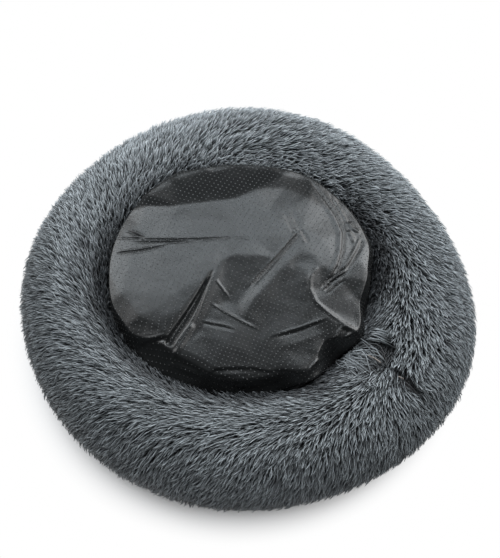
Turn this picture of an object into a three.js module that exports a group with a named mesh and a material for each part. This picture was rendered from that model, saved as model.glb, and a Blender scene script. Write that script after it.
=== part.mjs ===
// Donut pet bed, lying upside down: a stuffed ring of long-pile fabric with the dotted
// non-slip base panel upwards and the sleeping side towards the floor.
// Millimetres, +Z up. The origin is on the floor, under the middle of the bed's outline.
// +X is the side that the strip's end seam is nearest to, seen with the base panel on top.
import * as THREE from 'three';

// Overall sizes
const overallDiameter = 600;
const ringHeight = 150;
const ringWidth = 145;
const wellOffsetX = -9.5;
const wellOffsetY = 2;

// The ring's section, before the floor presses it flat
const tubeCentreHeight = 73;
const pressedDepth = 7;

// Fabric strip round the ring, and the seam where its two ends meet
const furThickness = 14;
const stripGap = 6.5;
const seamInset = 1.5;
const seamPinchDepth = 5;
const seamPinchWidth = 50;

// Layers inside the ring and the pad
const linerThickness = 0.8;
const layerGap = 0.3;
const linerBulgeInset = 3;
const fillingSlotHeight = 2;

// Non-slip base panel
const panelHeight = 152;
const clothThickness = 1.2;
const panelGap = 0.9;
const overhangWidth = 20;
const rimRadius = 9;
const rimDepth = 7;
const bulgeOffset = 5;
const crownDepth = 3;
const farSlopeDepth = 9;
const farSlopeWidth = 34;

// Pad between the two panels
const padTopInset = 9;
const padOverhangWidth = 8;
const padRimDepth = 6;
const padEdgeRadius = 2;

// Sleeping panel
const pileThickness = 12;
const pileFaceOffset = 1.5;
const sleepingCrownDepth = 6;
const pileEdgeRadius = 4;

// Overlocked seams
const baseSeamOffset = 2;
const seamDepth = 6;

// Angles and counts
const radians = Math.PI / 180;
const endSeamAngle = -40 * radians;
const baseSeamAngle = 160 * radians;
const sleepingSeamAngle = -171 * radians;
const seamGapAngle = 0.35 * radians;
const seamBundleAngle = 3.6 * radians;
const stationCount = 43;
const closingStations = 5;
const outerArcSteps = 13;
const outerReturnSteps = 4;
const innerArcSteps = 6;
const innerReturnSteps = 2;

// The outline is a circle that lies a little uneven, in shares of its radius
const outlineShares = [
  { turns: 1, cosShare: 0.0027, sinShare: 0 },
  { turns: 2, cosShare: 0, sinShare: -0.0158 },
  { turns: 3, cosShare: 0.0007, sinShare: -0.0152 },
  { turns: 4, cosShare: 0.0049, sinShare: -0.0092 },
];

// How far the base panel hangs over the ring at every 15 degrees, in shares of overhangWidth
const overhangShares = [
  0.75, 1.15, 1.25, 1.3, 1.35, 0.95, 0.8, 0.9, 1.2, 1.15, 0.95, 0.8,
  0.75, 1.1, 1.0, 1.0, 0.8, 0.75, 0.55, 0.7, 1.05, 0.8, 1.15, 0.6,
];

// Where the liner bulges between the two seams, as shares of the opening's angle and depth
const linerBulgeShares = [
  { angleShare: 0.18, insetShare: 0.35 },
  { angleShare: 0.5, insetShare: 0 },
  { angleShare: 0.82, insetShare: 0.35 },
];

// Rings of the base panel from its middle to the rim, in shares of the way
const plateauShares = [0.12, 0.25, 0.38, 0.5, 0.61, 0.72, 0.82, 0.91];
const flatShare = 0.6;
const undersideShare = 0.6;
const padRingShares = [0.4, 0.8];
const padSlotRowCount = 4;
const pileRingShares = [0.3, 0.6, 0.85];

// Main folds of the base panel. Heights are real; the lines are shares of the panel's radius
const folds = {
  longGroove: { height: -4, width: 13,
    lineShares: [[-0.9, 0.27], [-0.7, 0.26], [-0.25, 0.26], [0, 0.27], [0.21, 0.24]] },
  steepRidge: { height: 5, width: 15,
    lineShares: [[-0.08, 0.15], [-0.17, -0.09], [-0.3, -0.45], [-0.37, -0.57], [-0.46, -0.73]] },
  darkWedge: { height: -6, width: 15,
    lineShares: [[-0.2, -0.02], [-0.35, -0.26], [-0.48, -0.55]] },
  leftRidge: { height: 3, width: 14,
    lineShares: [[-0.28, -0.1], [-0.43, -0.33], [-0.56, -0.54]] },
  frontWedge: { height: -6, width: 15,
    lineShares: [[0.21, -0.58], [0.45, -0.49], [0.67, -0.42]] },
  frontRidge: { height: 4, width: 13,
    lineShares: [[-0.2, -0.29], [0.03, -0.43], [0.19, -0.5]] },
  rightRidge: { height: 5, width: 14,
    lineShares: [[0.63, 0.03], [0.53, -0.12], [0.61, -0.32], [0.77, -0.45], [0.9, -0.53]] },
  rightDip: { height: -6, width: 20,
    lineShares: [[0.7, -0.14], [0.76, -0.2]] },
  rightFold: { height: -5, width: 14,
    lineShares: [[0.57, 0.76], [0.71, 0.6], [0.8, 0.36], [0.77, 0.05]] },
  slantingRidge: { height: 4, width: 14,
    lineShares: [[0.44, 0.31], [0.29, 0.1], [0.08, -0.16], [0.01, -0.38]] },
  cornerFold: { height: -5, width: 14,
    lineShares: [[-0.8, -0.62], [-0.66, -0.58], [-0.48, -0.55]] },
};
const farSlopeShares = [[-0.95, 0.5], [-0.72, 0.57], [-0.26, 0.59], [0.18, 0.78], [0.45, 1]];

// Worked out from the sizes above
const outerRadius = overallDiameter / 2;
const wellRadius = outerRadius - ringWidth;
const panelRadius = wellRadius + overhangWidth;
const tubeRise = ringHeight - tubeCentreHeight;
const tubeDrop = tubeCentreHeight + pressedDepth;
const halfStripAngle = stripGap / overallDiameter;
const sleepingSeamHeight = tubeCentreHeight + tubeDrop * Math.sin(sleepingSeamAngle);
const pileFaceHeight = sleepingSeamHeight + pileFaceOffset;
const padUndersideHeight = pileFaceHeight + pileThickness;
const linerInset = furThickness + layerGap;
const fillInset = linerInset + linerThickness + layerGap;
const openingAngle = 2 * Math.PI - (baseSeamAngle - sleepingSeamAngle);

// A hump that is 1 on a line and fades out smoothly at its reach
function hump(distance, reach) {
  const share = Math.min(Math.abs(distance) / reach, 1);
  return (1 - share * share) ** 2;
}

function smoothStep(share) {
  const held = Math.min(Math.max(share, 0), 1);
  return held * held * (3 - 2 * held);
}

// Evenly spaced values from first to last, both included
function spread(first, last, steps) {
  return Array.from({ length: steps + 1 }, (_, i) => first + (last - first) * i / steps);
}

function outlineRadius(angle) {
  let share = 1;
  for (const wave of outlineShares) {
    share += wave.cosShare * Math.cos(wave.turns * angle) + wave.sinShare * Math.sin(wave.turns * angle);
  }
  return outerRadius * share;
}

// The well is a true circle, a little off the middle of the outline
function wellEdge(angle) {
  const along = wellOffsetX * Math.cos(angle) + wellOffsetY * Math.sin(angle);
  const across = wellOffsetY * Math.cos(angle) - wellOffsetX * Math.sin(angle);
  return along + Math.sqrt(wellRadius ** 2 - across ** 2);
}

function overhang(angle) {
  const turn = ((angle / (2 * Math.PI)) % 1 + 1) % 1 * overhangShares.length;
  const index = Math.floor(turn);
  const next = overhangShares[(index + 1) % overhangShares.length];
  const share = overhangShares[index] + (next - overhangShares[index]) * smoothStep(turn - index);
  return overhangWidth * share;
}

// The ring's section at one station: half-width, middle radius and rise above the middle
function section(angle) {
  const inner = wellEdge(angle);
  const halfWidth = (outlineRadius(angle) - inner) / 2;
  const fromSeam = Math.atan2(Math.sin(angle - endSeamAngle), Math.cos(angle - endSeamAngle));
  const pinch = seamPinchDepth * hump(fromSeam * wellRadius, seamPinchWidth);
  return { angle, inner, halfWidth, middle: inner + halfWidth, rise: tubeRise - pinch };
}

// A point of the ring's section, inset from its outer face, at an angle round the tube
function tubePoint(at, inset, turn) {
  const half = Math.sin(turn) > 0 ? at.rise : tubeDrop;
  const height = tubeCentreHeight + (half - inset) * Math.sin(turn);
  return [at.middle + (at.halfWidth - inset) * Math.cos(turn), Math.max(height, inset)];
}

// The face of the ring's section that runs from the base seam over the outside to the
// sleeping seam, flat where the floor presses it
function tubeArc(at, inset, arcSteps, returnSteps) {
  const flatTurn = Math.asin((tubeCentreHeight - inset) / (tubeDrop - inset));
  const outside = spread(baseSeamAngle, -flatTurn, arcSteps);
  const inside = spread(flatTurn - Math.PI, sleepingSeamAngle, returnSteps);
  return [...outside, ...inside].map((turn) => tubePoint(at, inset, turn));
}

// A closed loop inside the strip, which bulges into the opening between the two seams
function tubeLoop(at, inset) {
  const arc = tubeArc(at, inset, innerArcSteps, innerReturnSteps);
  const depth = inset - furThickness;
  const bulge = linerBulgeShares.map(({ angleShare, insetShare }) => {
    const turn = sleepingSeamAngle - openingAngle * angleShare;
    return tubePoint(at, depth + linerBulgeInset + (furThickness - linerBulgeInset) * insetShare, turn);
  });
  return [...arc, ...bulge];
}

// The tube angle at which the ring's upper inner slope reaches a distance from the well's edge
function slopeTurn(at, distance) {
  return Math.PI - Math.acos(1 - distance / at.halfWidth);
}

// Collects points and faces, and gives the closed body that they bound
class Skin {
  constructor() {
    this.points = [];
    this.faces = [];
  }

  point(x, y, z) {
    this.points.push(x, y, z);
    return this.points.length / 3 - 1;
  }

  // A point given by its station's angle, radius and height
  around(angle, [radius, height]) {
    return this.point(radius * Math.cos(angle), radius * Math.sin(angle), height);
  }

  // Both turns of a quad are split along the same diagonal, so that nested layers run parallel
  quad(a, b, c, d, flip = false) {
    if (flip) this.faces.push(a, c, b, a, d, c);
    else this.faces.push(a, b, c, a, c, d);
  }

  // Faces between two rows of points, closed into a loop or left open
  strip(rowA, rowB, { closed = true, flip = false, skip = () => false } = {}) {
    const last = closed ? rowA.length : rowA.length - 1;
    for (let i = 0; i < last; i += 1) {
      const j = (i + 1) % rowA.length;
      if (!skip(i)) this.quad(rowA[i], rowB[i], rowB[j], rowA[j], flip);
    }
  }

  fan(middle, row, flip = false) {
    row.forEach((first, i) => {
      const second = row[(i + 1) % row.length];
      this.faces.push(middle, flip ? second : first, flip ? first : second);
    });
  }

  // Faces that fill a flat outline, turned the way that the outline runs or the other way
  cap(row, outline, flip) {
    const flat = outline.map(([x, y]) => new THREE.Vector2(x, y));
    const outlineTurn = Math.sign(THREE.ShapeUtils.area(flat));
    for (const [a, b, c] of THREE.ShapeUtils.triangulateShape(flat, [])) {
      const turn = Math.sign(THREE.ShapeUtils.area([flat[a], flat[b], flat[c]]));
      const forward = (turn === outlineTurn) !== flip;
      this.faces.push(row[a], row[forward ? b : c], row[forward ? c : b]);
    }
  }

  volume() {
    const corner = (index) => new THREE.Vector3().fromArray(this.points, index * 3);
    let sum = 0;
    for (let i = 0; i < this.faces.length; i += 3) {
      const [a, b, c] = [0, 1, 2].map((step) => corner(this.faces[i + step]));
      sum += a.dot(b.cross(c));
    }
    return sum;
  }

  geometry() {
    if (this.volume() < 0) this.faces.reverse();
    const geometry = new THREE.BufferGeometry();
    geometry.setAttribute('position', new THREE.Float32BufferAttribute(this.points, 3));
    geometry.setIndex(this.faces);
    geometry.computeVertexNormals();
    return geometry;
  }
}

// A closed outline swept along the stations, each with the same number of outline points
function sweep(places, profile, closed) {
  const skin = new Skin();
  const outlines = places.map(profile);
  const rows = places.map((at, i) => outlines[i].map((point) => skin.around(at.angle, point)));
  for (let i = 0; i + 1 < rows.length; i += 1) skin.strip(rows[i], rows[i + 1]);
  if (closed) {
    skin.strip(rows.at(-1), rows[0]);
  } else {
    skin.cap(rows[0], outlines[0], false);
    skin.cap(rows.at(-1), outlines.at(-1), true);
  }
  return skin.geometry();
}

// An open band of fabric with an outer and an inner face, swept along the stations
function sweepBand(places, outerFace, innerFace) {
  const skin = new Skin();
  const faces = [outerFace, innerFace].map((profile) => {
    const outlines = places.map(profile);
    const rows = places.map((at, i) => outlines[i].map((point) => skin.around(at.angle, point)));
    return { outlines, rows };
  });
  const [outer, inner] = faces;
  for (let i = 0; i + 1 < places.length; i += 1) {
    skin.strip(outer.rows[i], outer.rows[i + 1], { closed: false });
    skin.strip(inner.rows[i], inner.rows[i + 1], { closed: false, flip: true });
    const [outerNow, outerNext] = [outer.rows[i], outer.rows[i + 1]];
    const [innerNow, innerNext] = [inner.rows[i], inner.rows[i + 1]];
    skin.quad(outerNow[0], innerNow[0], innerNext[0], outerNext[0]);
    skin.quad(outerNow.at(-1), outerNext.at(-1), innerNext.at(-1), innerNow.at(-1));
  }
  for (const end of [0, -1]) {
    const row = [...outer.rows.at(end), ...[...inner.rows.at(end)].reverse()];
    const outline = [...outer.outlines.at(end), ...[...inner.outlines.at(end)].reverse()];
    skin.cap(row, outline, end !== 0);
  }
  return skin.geometry();
}

// The wall between an outer and an inner grid round a slot. Grids are rows of columns
function slotWalls(skin, outer, inner, firstRow, lastRow, column) {
  const width = outer[0].length;
  const nextColumn = (column + 1) % width;
  for (let i = firstRow; i < lastRow; i += 1) {
    const [outerNow, outerNext] = [outer[i], outer[i + 1]];
    const [innerNow, innerNext] = [inner[i], inner[i + 1]];
    skin.quad(outerNow[column], outerNext[column], innerNext[column], innerNow[column]);
    skin.quad(outerNow[nextColumn], innerNow[nextColumn], innerNext[nextColumn], outerNext[nextColumn]);
  }
  for (const [i, flip] of [[firstRow, false], [lastRow, true]]) {
    const edge = [outer[i][column], inner[i][column], inner[i][nextColumn], outer[i][nextColumn]];
    if (flip) edge.reverse();
    skin.quad(...edge);
  }
}

// Stations round the ring. The first and the last stand on the two sides of the end seam
const stations = spread(endSeamAngle + halfStripAngle, endSeamAngle + 2 * Math.PI - halfStripAngle,
  stationCount - 1).map(section);

// Long-pile strip: backing and lying pile, open towards the well between its two seams
function ringFurCover() {
  return sweepBand(stations, (at) => tubeArc(at, 0, outerArcSteps, outerReturnSteps),
    (at) => tubeArc(at, furThickness, innerArcSteps, innerReturnSteps));
}

// Seam allowances of the strip's two ends, sunk a little between them
function ringEndSeam() {
  const halfAngle = halfStripAngle - layerGap / wellRadius;
  const sides = [endSeamAngle - halfAngle, endSeamAngle + halfAngle].map(section);
  return sweepBand(sides, (at) => tubeArc(at, seamInset, outerArcSteps, outerReturnSteps),
    (at) => tubeArc(at, furThickness, innerArcSteps, innerReturnSteps));
}

// Sleeve that holds the ring's filling, with a filling slot on the well's side
function ringLiner() {
  const skin = new Skin();
  const row = (at, inset) => tubeLoop(at, inset).map((point) => skin.around(at.angle, point));
  const grid = (inset) => stations.map((at) => row(at, inset));
  const outer = grid(linerInset);
  const inner = grid(linerInset + linerThickness);
  const slotRow = closingStations;
  const slotColumn = outer[0].length - 2;
  for (const [rows, flip] of [[outer, false], [inner, true]]) {
    rows.forEach((current, i) => {
      const next = rows[(i + 1) % rows.length];
      const skip = (column) => i === slotRow && column === slotColumn;
      skin.strip(current, next, { flip, skip });
    });
  }
  slotWalls(skin, outer, inner, slotRow, slotRow + 1, slotColumn);
  return skin.geometry();
}

// Fibre filling of the ring
function ringFill() {
  return sweep(stations, (at) => tubeLoop(at, fillInset), true);
}

// Signed distance from a line given in shares of the panel's radius, above zero on its left
function lineDistance(x, y, lineShares) {
  let nearest = Infinity;
  let side = 1;
  for (let i = 0; i + 1 < lineShares.length; i += 1) {
    const [ax, ay] = lineShares[i].map((share) => share * panelRadius);
    const [bx, by] = lineShares[i + 1].map((share) => share * panelRadius);
    const [dx, dy] = [bx - ax, by - ay];
    const along = THREE.MathUtils.clamp(((x - ax) * dx + (y - ay) * dy) / (dx * dx + dy * dy), 0, 1);
    const distance = Math.hypot(x - ax - along * dx, y - ay - along * dy);
    if (distance < nearest) {
      nearest = distance;
      side = Math.sign(dx * (y - ay) - dy * (x - ax)) || 1;
    }
  }
  return nearest * side;
}

// What the folds add to the panel's plateau at a point measured from the panel's middle
function foldRise(x, y) {
  const beyond = lineDistance(x, y, farSlopeShares);
  const drop = farSlopeDepth * smoothStep(beyond / farSlopeWidth);
  const rises = Object.values(folds).map((fold) => (
    fold.height * hump(lineDistance(x, y, fold.lineShares), fold.width)
  ));
  return Math.max(0, ...rises) + Math.min(0, ...rises) - drop;
}

// The base panel's face at one station, from the plateau's edge down to the base seam.
// The inner face is the same outline, a cloth's thickness further in
function panelRim(at, depth) {
  const hang = overhang(at.angle);
  const bulgeHeight = tubePoint(at, -panelGap, slopeTurn(at, hang))[1] + bulgeOffset;
  const shoulderHeight = (bulgeHeight + panelHeight - rimDepth) / 2;
  const edge = at.inner + hang - depth;
  const hug = (turn) => tubePoint(at, -panelGap - depth, turn);
  return [
    [edge - rimRadius, panelHeight - rimDepth - depth],
    [edge - rimRadius / 4, shoulderHeight],
    [edge, bulgeHeight],
    hug(slopeTurn(at, hang - bulgeOffset)),
    hug((slopeTurn(at, hang - bulgeOffset) + baseSeamAngle) / 2),
    hug(baseSeamAngle),
  ];
}

// Dotted non-slip cloth: a plateau with its folds, a rolled rim and a skirt down to the seam
function basePanel() {
  const skin = new Skin();
  const face = (depth) => {
    const rims = stations.map((at) => panelRim(at, depth));
    const rows = plateauShares.map((share) => stations.map((at, i) => {
      const [edgeRadius] = rims[i][0];
      const edgeX = edgeRadius * Math.cos(at.angle) - wellOffsetX;
      const edgeY = edgeRadius * Math.sin(at.angle) - wellOffsetY;
      const [x, y] = [edgeX * share, edgeY * share];
      const fall = crownDepth * (Math.max(share - flatShare, 0) / (1 - flatShare)) ** 2;
      const height = panelHeight - fall + foldRise(x, y) - depth;
      return skin.point(x + wellOffsetX, y + wellOffsetY, height);
    }));
    rims[0].forEach((_, ring) => {
      rows.push(stations.map((at, i) => skin.around(at.angle, rims[i][ring])));
    });
    const middle = skin.point(wellOffsetX, wellOffsetY, panelHeight + foldRise(0, 0) - depth);
    return { middle, rows };
  };
  const outer = face(0);
  const inner = face(clothThickness);
  skin.fan(outer.middle, outer.rows[0]);
  outer.rows.slice(1).forEach((row, i) => skin.strip(outer.rows[i], row));
  skin.fan(inner.middle, inner.rows[0], true);
  inner.rows.slice(1).forEach((row, i) => skin.strip(inner.rows[i], row, { flip: true }));
  skin.strip(outer.rows.at(-1), inner.rows.at(-1));
  return skin.geometry();
}

// Overlocked bundle along the base panel's edge and the strip's edge
function baseSeamProfile(at) {
  const turn = baseSeamAngle + seamGapAngle;
  return [
    tubePoint(at, -baseSeamOffset, turn),
    tubePoint(at, seamDepth, turn),
    tubePoint(at, seamDepth, turn + seamBundleAngle),
    tubePoint(at, -baseSeamOffset / 2, turn + seamBundleAngle),
  ];
}

function baseSeam() {
  return sweep(stations.slice(0, stationCount - closingStations), baseSeamProfile, false);
}

// Hand-closed length of the same seam, where the filling went in
function closingStitch() {
  const first = stations[stationCount - closingStations - 1];
  const start = section(first.angle + layerGap / wellRadius);
  return sweep([start, ...stations.slice(stationCount - closingStations)], baseSeamProfile, false);
}

// Seam between the sleeping panel and the strip's other edge
function sleepingSeam() {
  return sweep(stations, (at) => {
    const turn = sleepingSeamAngle - seamGapAngle;
    return [
      tubePoint(at, 0, turn),
      tubePoint(at, seamDepth, turn),
      tubePoint(at, seamDepth, turn - seamBundleAngle),
      tubePoint(at, 0, turn - seamBundleAngle),
    ];
  }, true);
}

// The pad's outline at one station, from its upper rim down its side to its underside
function padRim(at, depth) {
  const standOff = panelGap + clothThickness + layerGap;
  const hug = (turn) => tubePoint(at, -standOff - depth, turn);
  const side = at.inner - layerGap - depth;
  const top = panelHeight - padTopInset - depth;
  const bulgeTurn = slopeTurn(at, padOverhangWidth);
  const sideTop = hug(baseSeamAngle)[1] - seamDepth;
  const slotHeight = (sideTop + padUndersideHeight) / 2;
  return [
    [at.inner + padOverhangWidth - rimRadius, top - padRimDepth],
    [at.inner + padOverhangWidth - depth - layerGap, hug(bulgeTurn)[1] + bulgeOffset],
    hug((bulgeTurn + baseSeamAngle) / 2),
    [side, sideTop],
    [side, slotHeight + fillingSlotHeight / 2],
    [side, slotHeight - fillingSlotHeight / 2],
    [side, padUndersideHeight + layerGap + depth + padEdgeRadius],
    [side - padEdgeRadius, padUndersideHeight + layerGap + depth],
  ];
}

// The pad's whole face: middle, rings, rim, side, rings and middle again
function padFace(skin, places, depth) {
  const rims = places.map((at) => padRim(at, depth));
  const ring = (share, from, height) => places.map((at, i) => {
    const [edgeRadius] = rims[i][from];
    const x = (edgeRadius * Math.cos(at.angle) - wellOffsetX) * share;
    const y = (edgeRadius * Math.sin(at.angle) - wellOffsetY) * share;
    return skin.point(x + wellOffsetX, y + wellOffsetY, height);
  });
  const top = panelHeight - padTopInset - depth;
  const bottom = padUndersideHeight + layerGap + depth;
  const rows = [
    ...padRingShares.map((share) => ring(share, 0, top)),
    ...rims[0].map((_, k) => places.map((at, i) => skin.around(at.angle, rims[i][k]))),
    ring(undersideShare, rims[0].length - 1, bottom),
  ];
  return {
    upper: skin.point(wellOffsetX, wellOffsetY, top),
    lower: skin.point(wellOffsetX, wellOffsetY, bottom),
    rows,
  };
}

// The pad lies inside the panels, so half as many stations are enough
const padStations = stations.filter((_, i) => i % 2 === 0);

function closePad(skin, face, flip, skipCell) {
  const { upper, lower, rows } = face;
  skin.fan(upper, rows[0], flip);
  skin.fan(lower, rows.at(-1), !flip);
  for (let i = 0; i + 1 < rows.length; i += 1) {
    skin.strip(rows[i], rows[i + 1], { flip, skip: (column) => skipCell(i, column) });
  }
}

// Bag round the pad's filling, with a filling slot in its side
function padLiner() {
  const skin = new Skin();
  const outer = padFace(skin, padStations, 0);
  const inner = padFace(skin, padStations, linerThickness);
  const slotRow = padRingShares.length + padSlotRowCount;
  const skip = (row, column) => row === slotRow && column === closingStations;
  closePad(skin, outer, false, skip);
  closePad(skin, inner, true, skip);
  slotWalls(skin, outer.rows, inner.rows, slotRow, slotRow + 1, closingStations);
  return skin.geometry();
}

// Fibre filling of the pad
function padFill() {
  const skin = new Skin();
  closePad(skin, padFace(skin, padStations, linerThickness + layerGap), false, () => false);
  return skin.geometry();
}

// Round of long-pile fabric: pile towards the floor, crowned into the well
function sleepingPanel() {
  const skin = new Skin();
  const ring = (share, height) => stations.map((at) => {
    const edge = at.inner - pileEdgeRadius;
    const x = (edge * Math.cos(at.angle) - wellOffsetX) * share;
    const y = (edge * Math.sin(at.angle) - wellOffsetY) * share;
    return skin.point(x + wellOffsetX, y + wellOffsetY, height);
  });
  const pileHeight = (share) => pileFaceHeight - sleepingCrownDepth * (1 - share ** 2);
  const rim = [
    [-pileEdgeRadius, pileFaceHeight],
    [0, pileFaceHeight + pileEdgeRadius],
    [0, padUndersideHeight - pileEdgeRadius / 2],
    [-pileEdgeRadius / 2, padUndersideHeight],
  ];
  const rows = [
    ...pileRingShares.map((share) => ring(share, pileHeight(share))),
    ...rim.map(([out, height]) => stations.map((at) => skin.around(at.angle, [at.inner + out, height]))),
    ring(undersideShare, padUndersideHeight),
  ];
  skin.fan(skin.point(wellOffsetX, wellOffsetY, pileHeight(0)), rows[0]);
  rows.slice(1).forEach((row, i) => skin.strip(rows[i], row));
  skin.fan(skin.point(wellOffsetX, wellOffsetY, padUndersideHeight), rows.at(-1), true);
  return skin.geometry();
}

// Colours and finishes
const finish = (color, roughness) => new THREE.MeshStandardMaterial({ color, roughness, metalness: 0 });
const fur = finish(0x6a6f73, 0.95);
const cloth = finish(0x3b3f42, 0.45);
const lining = finish(0xd9d9d6, 0.9);
const fibre = finish(0xf4f4f2, 1);
const thread = finish(0x34373a, 0.8);

const pieces = {
  ring_fur_cover: [ringFurCover(), fur],
  ring_end_seam: [ringEndSeam(), thread],
  ring_liner: [ringLiner(), lining],
  ring_fill: [ringFill(), fibre],
  base_panel: [basePanel(), cloth],
  base_seam: [baseSeam(), thread],
  closing_stitch: [closingStitch(), thread],
  pad_liner: [padLiner(), lining],
  pad_fill: [padFill(), fibre],
  sleeping_panel: [sleepingPanel(), fur],
  sleeping_seam: [sleepingSeam(), thread],
};

const bed = new THREE.Group();
for (const [name, [geometry, material]] of Object.entries(pieces)) {
  const mesh = new THREE.Mesh(geometry, material.clone());
  mesh.name = name;
  bed.add(mesh);
}

// The uneven outline is moved so that its own middle lies over the origin
const reach = new THREE.Box3().setFromObject(bed);
const centre = reach.getCenter(new THREE.Vector3());
bed.position.set(-centre.x, -centre.y, 0);

export default bed;
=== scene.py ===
# Donut pet bed, lying with its dotted base panel up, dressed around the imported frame.
# The pile is built lock by lock, the base panel as one creased cloth with raised grip dots.
import math

import bpy
import numpy as np
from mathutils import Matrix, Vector
from mathutils.geometry import delaunay_2d_cdt


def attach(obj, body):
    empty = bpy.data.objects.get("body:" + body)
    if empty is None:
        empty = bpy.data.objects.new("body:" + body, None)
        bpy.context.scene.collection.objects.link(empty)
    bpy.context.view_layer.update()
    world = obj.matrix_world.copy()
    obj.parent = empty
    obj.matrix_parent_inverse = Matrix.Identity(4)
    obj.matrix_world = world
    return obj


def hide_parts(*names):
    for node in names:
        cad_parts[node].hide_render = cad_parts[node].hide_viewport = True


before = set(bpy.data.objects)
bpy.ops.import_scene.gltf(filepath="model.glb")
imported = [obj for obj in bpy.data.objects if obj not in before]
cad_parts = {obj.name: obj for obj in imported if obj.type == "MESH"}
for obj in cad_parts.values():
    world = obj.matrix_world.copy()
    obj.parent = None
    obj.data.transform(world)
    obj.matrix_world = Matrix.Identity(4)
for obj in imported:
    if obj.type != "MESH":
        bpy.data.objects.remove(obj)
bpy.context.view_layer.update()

MM = 0.001
TURN = 2 * math.pi

# Ring, as in the frame's solids
OUTER_RADIUS = 300 * MM
RING_WIDTH = 145 * MM
RING_HEIGHT = 150 * MM
WELL_OFFSET = (-9.5 * MM, 2 * MM)
TUBE_CENTRE = 73 * MM
PRESSED = 7 * MM
PINCH_DEPTH = 5 * MM
PINCH_WIDTH = 50 * MM
END_SEAM = math.radians(-40)
BASE_SEAM = math.radians(160)
SLEEPING_SEAM = math.radians(-171)
# Waves of the outline: how many round the ring, and their cosine and sine shares of the radius
OUTLINE_WAVES = ((1, 0.0027, 0), (2, 0, -0.0158), (3, 0.0007, -0.0152), (4, 0.0049, -0.0092))
OUTLINE_STEPS = 720

# Base panel. The shares go round it from +X in steps of 15 degrees
PANEL_HEIGHT = 153.5 * MM
PANEL_CROWN = 0.6 * MM
OVERHANG = 20 * MM
OVERHANG_SHARES = (0.9, 1.3, 1.3, 1.3, 1.4, 1.25, 1.2, 1.25, 1.4, 1.25, 0.95, 0.8,
                   0.75, 0.85, 0.8, 0.75, 0.65, 0.55, 0.52, 0.55, 1.15, 0.58, 1.35, 0.65)
BEVEL = 22 * MM
BEVEL_SHARES = (0.25, 0.3, 0.3, 0.3, 0.3, 0.3, 0.3, 0.3, 0.3, 0.3, 0.25, 0.15,
                0.1, 0.12, 0.3, 1.2, 1.1, 0.7, 0.8, 0.8, 0.6, 0.8, 0.35, 0.25)
PANEL_GAP = 0.9 * MM
PANEL_SEGMENTS = 640
PLATEAU_RINGS = 100
WALL_RINGS = 40
UNDER_RINGS = 12
# The cloth's thickness on the plateau, and how far its inner face lies in and down on the wall
CLOTH_THICKNESS = 1 * MM
CLOTH_WALL = 1.2 * MM
CLOTH_WALL_DROP = 0.4 * MM

# Pile, with insets from the ring's outer face
BACKING_INSET = 12.4 * MM
BACKING_WALL = 1.2 * MM
ROOT_INSET = 12.6 * MM
# Below this angle round the tube the strands are farther apart and thicker, by that factor
UNDER_TURN = math.radians(-42)
UNDER_SPARSE = 1.5
ROW_JITTER = 0.42
TURN_JITTER = 0.45
# Clumps: their spacing, how far tips are drawn to their middle and by which power along a strand,
# and how unevenly their middles lie
CLUMP_SPACING = 6 * MM
CLUMP_PULL = 0.5
CLUMP_GATHER = 1.3
CLUMP_JITTER = 0.7
SECTORS = 12
TONES = 32
FLOOR_CLEARANCE = 0.5 * MM
STRAND_ROOM = 0.4 * MM
MERGE_DISTANCE = 0.001 * MM

# Grip dots
DOT_PITCH = 6.1 * MM
DOT_RADIUS = 0.86 * MM
DOT_RISE = 0.65 * MM
DOT_TURN = math.radians(-25)
DOT_SEGMENTS = 7
DOT_RINGS = 4
# How far a dot's foot reaches into the cloth, as a share of its rise, the height in the round
# primitive under which its points are that foot's, and the spread of its size
DOT_FOOT = 0.5
DOT_CUT = -0.1
DOT_SIZES = (0.85, 1.12)
# Half-width of a dot's plan in its tone's column of the map
DOT_PLAN = 0.45
# A dot is darkened with painted shade, as on the panel's walls, where the upward part of the cloth's
# normal is below the first, and keeps its pale tone where it is more than that by the second. Its
# tone is uneven by the third
DOT_PAINTED_SHADE_UNDER = 0.58
DOT_PAINTED_SHADE_FADE = 0.34
DOT_WEAR = 0.06
# Rings of the cloth's grid next to the base seam that carry no dots
DOT_FREE_RINGS = 14

rng = np.random.default_rng(4021)


def hump(distance, width):
    """1 on a line, fading smoothly to 0 at the width."""
    share = np.minimum(np.abs(distance) / width, 1)
    return (1 - share * share) ** 2


def smooth(share):
    """0 up to 0 and 1 from 1 on, smooth between."""
    held = np.clip(share, 0, 1)
    return held * held * (3 - 2 * held)


def turned_from(angle, middle):
    """How far an angle lies from a middle one, from half a turn before it to half a turn after."""
    return (angle - middle + math.pi) % TURN - math.pi


def around(shares, angle):
    """A table of shares, evenly spaced round the circle, read smoothly at any angle."""
    table = np.asarray(shares)
    place = (angle / TURN) % 1 * len(table)
    index = np.floor(place).astype(int) % len(table)
    step = smooth(place - np.floor(place))
    return table[index] * (1 - step) + table[(index + 1) % len(table)] * step


# What the sum of many waves reaches, over its usual size
WAVE_PEAK = 1.6


def waves(seed, count, reach):
    """Smooth noise over two periodic angles: a function with values of about -1 to 1."""
    draw = np.random.default_rng(seed)
    turns = draw.integers(-reach, reach + 1, (count, 2))
    phases = draw.uniform(0, TURN, count)

    def noise(angle, turn):
        total = np.zeros(np.broadcast(angle, turn).shape)
        for (across, along), phase in zip(turns, phases):
            total = total + np.sin(across * angle + along * turn + phase)
        return total / math.sqrt(count / 2) / WAVE_PEAK

    return noise


def outline_radius(angle):
    """Radius of the bed's uneven outline."""
    share = 1.0
    for turns, cosine, sine in OUTLINE_WAVES:
        share = share + cosine * np.cos(turns * angle) + sine * np.sin(turns * angle)
    return OUTER_RADIUS * share


def outline_shift():
    """The move that puts the outline's middle over the origin, as in the frame."""
    angle = np.linspace(0, TURN, OUTLINE_STEPS)
    x, y = outline_radius(angle) * np.cos(angle), outline_radius(angle) * np.sin(angle)
    return np.array([-(x.min() + x.max()) / 2, -(y.min() + y.max()) / 2, 0])


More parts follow.
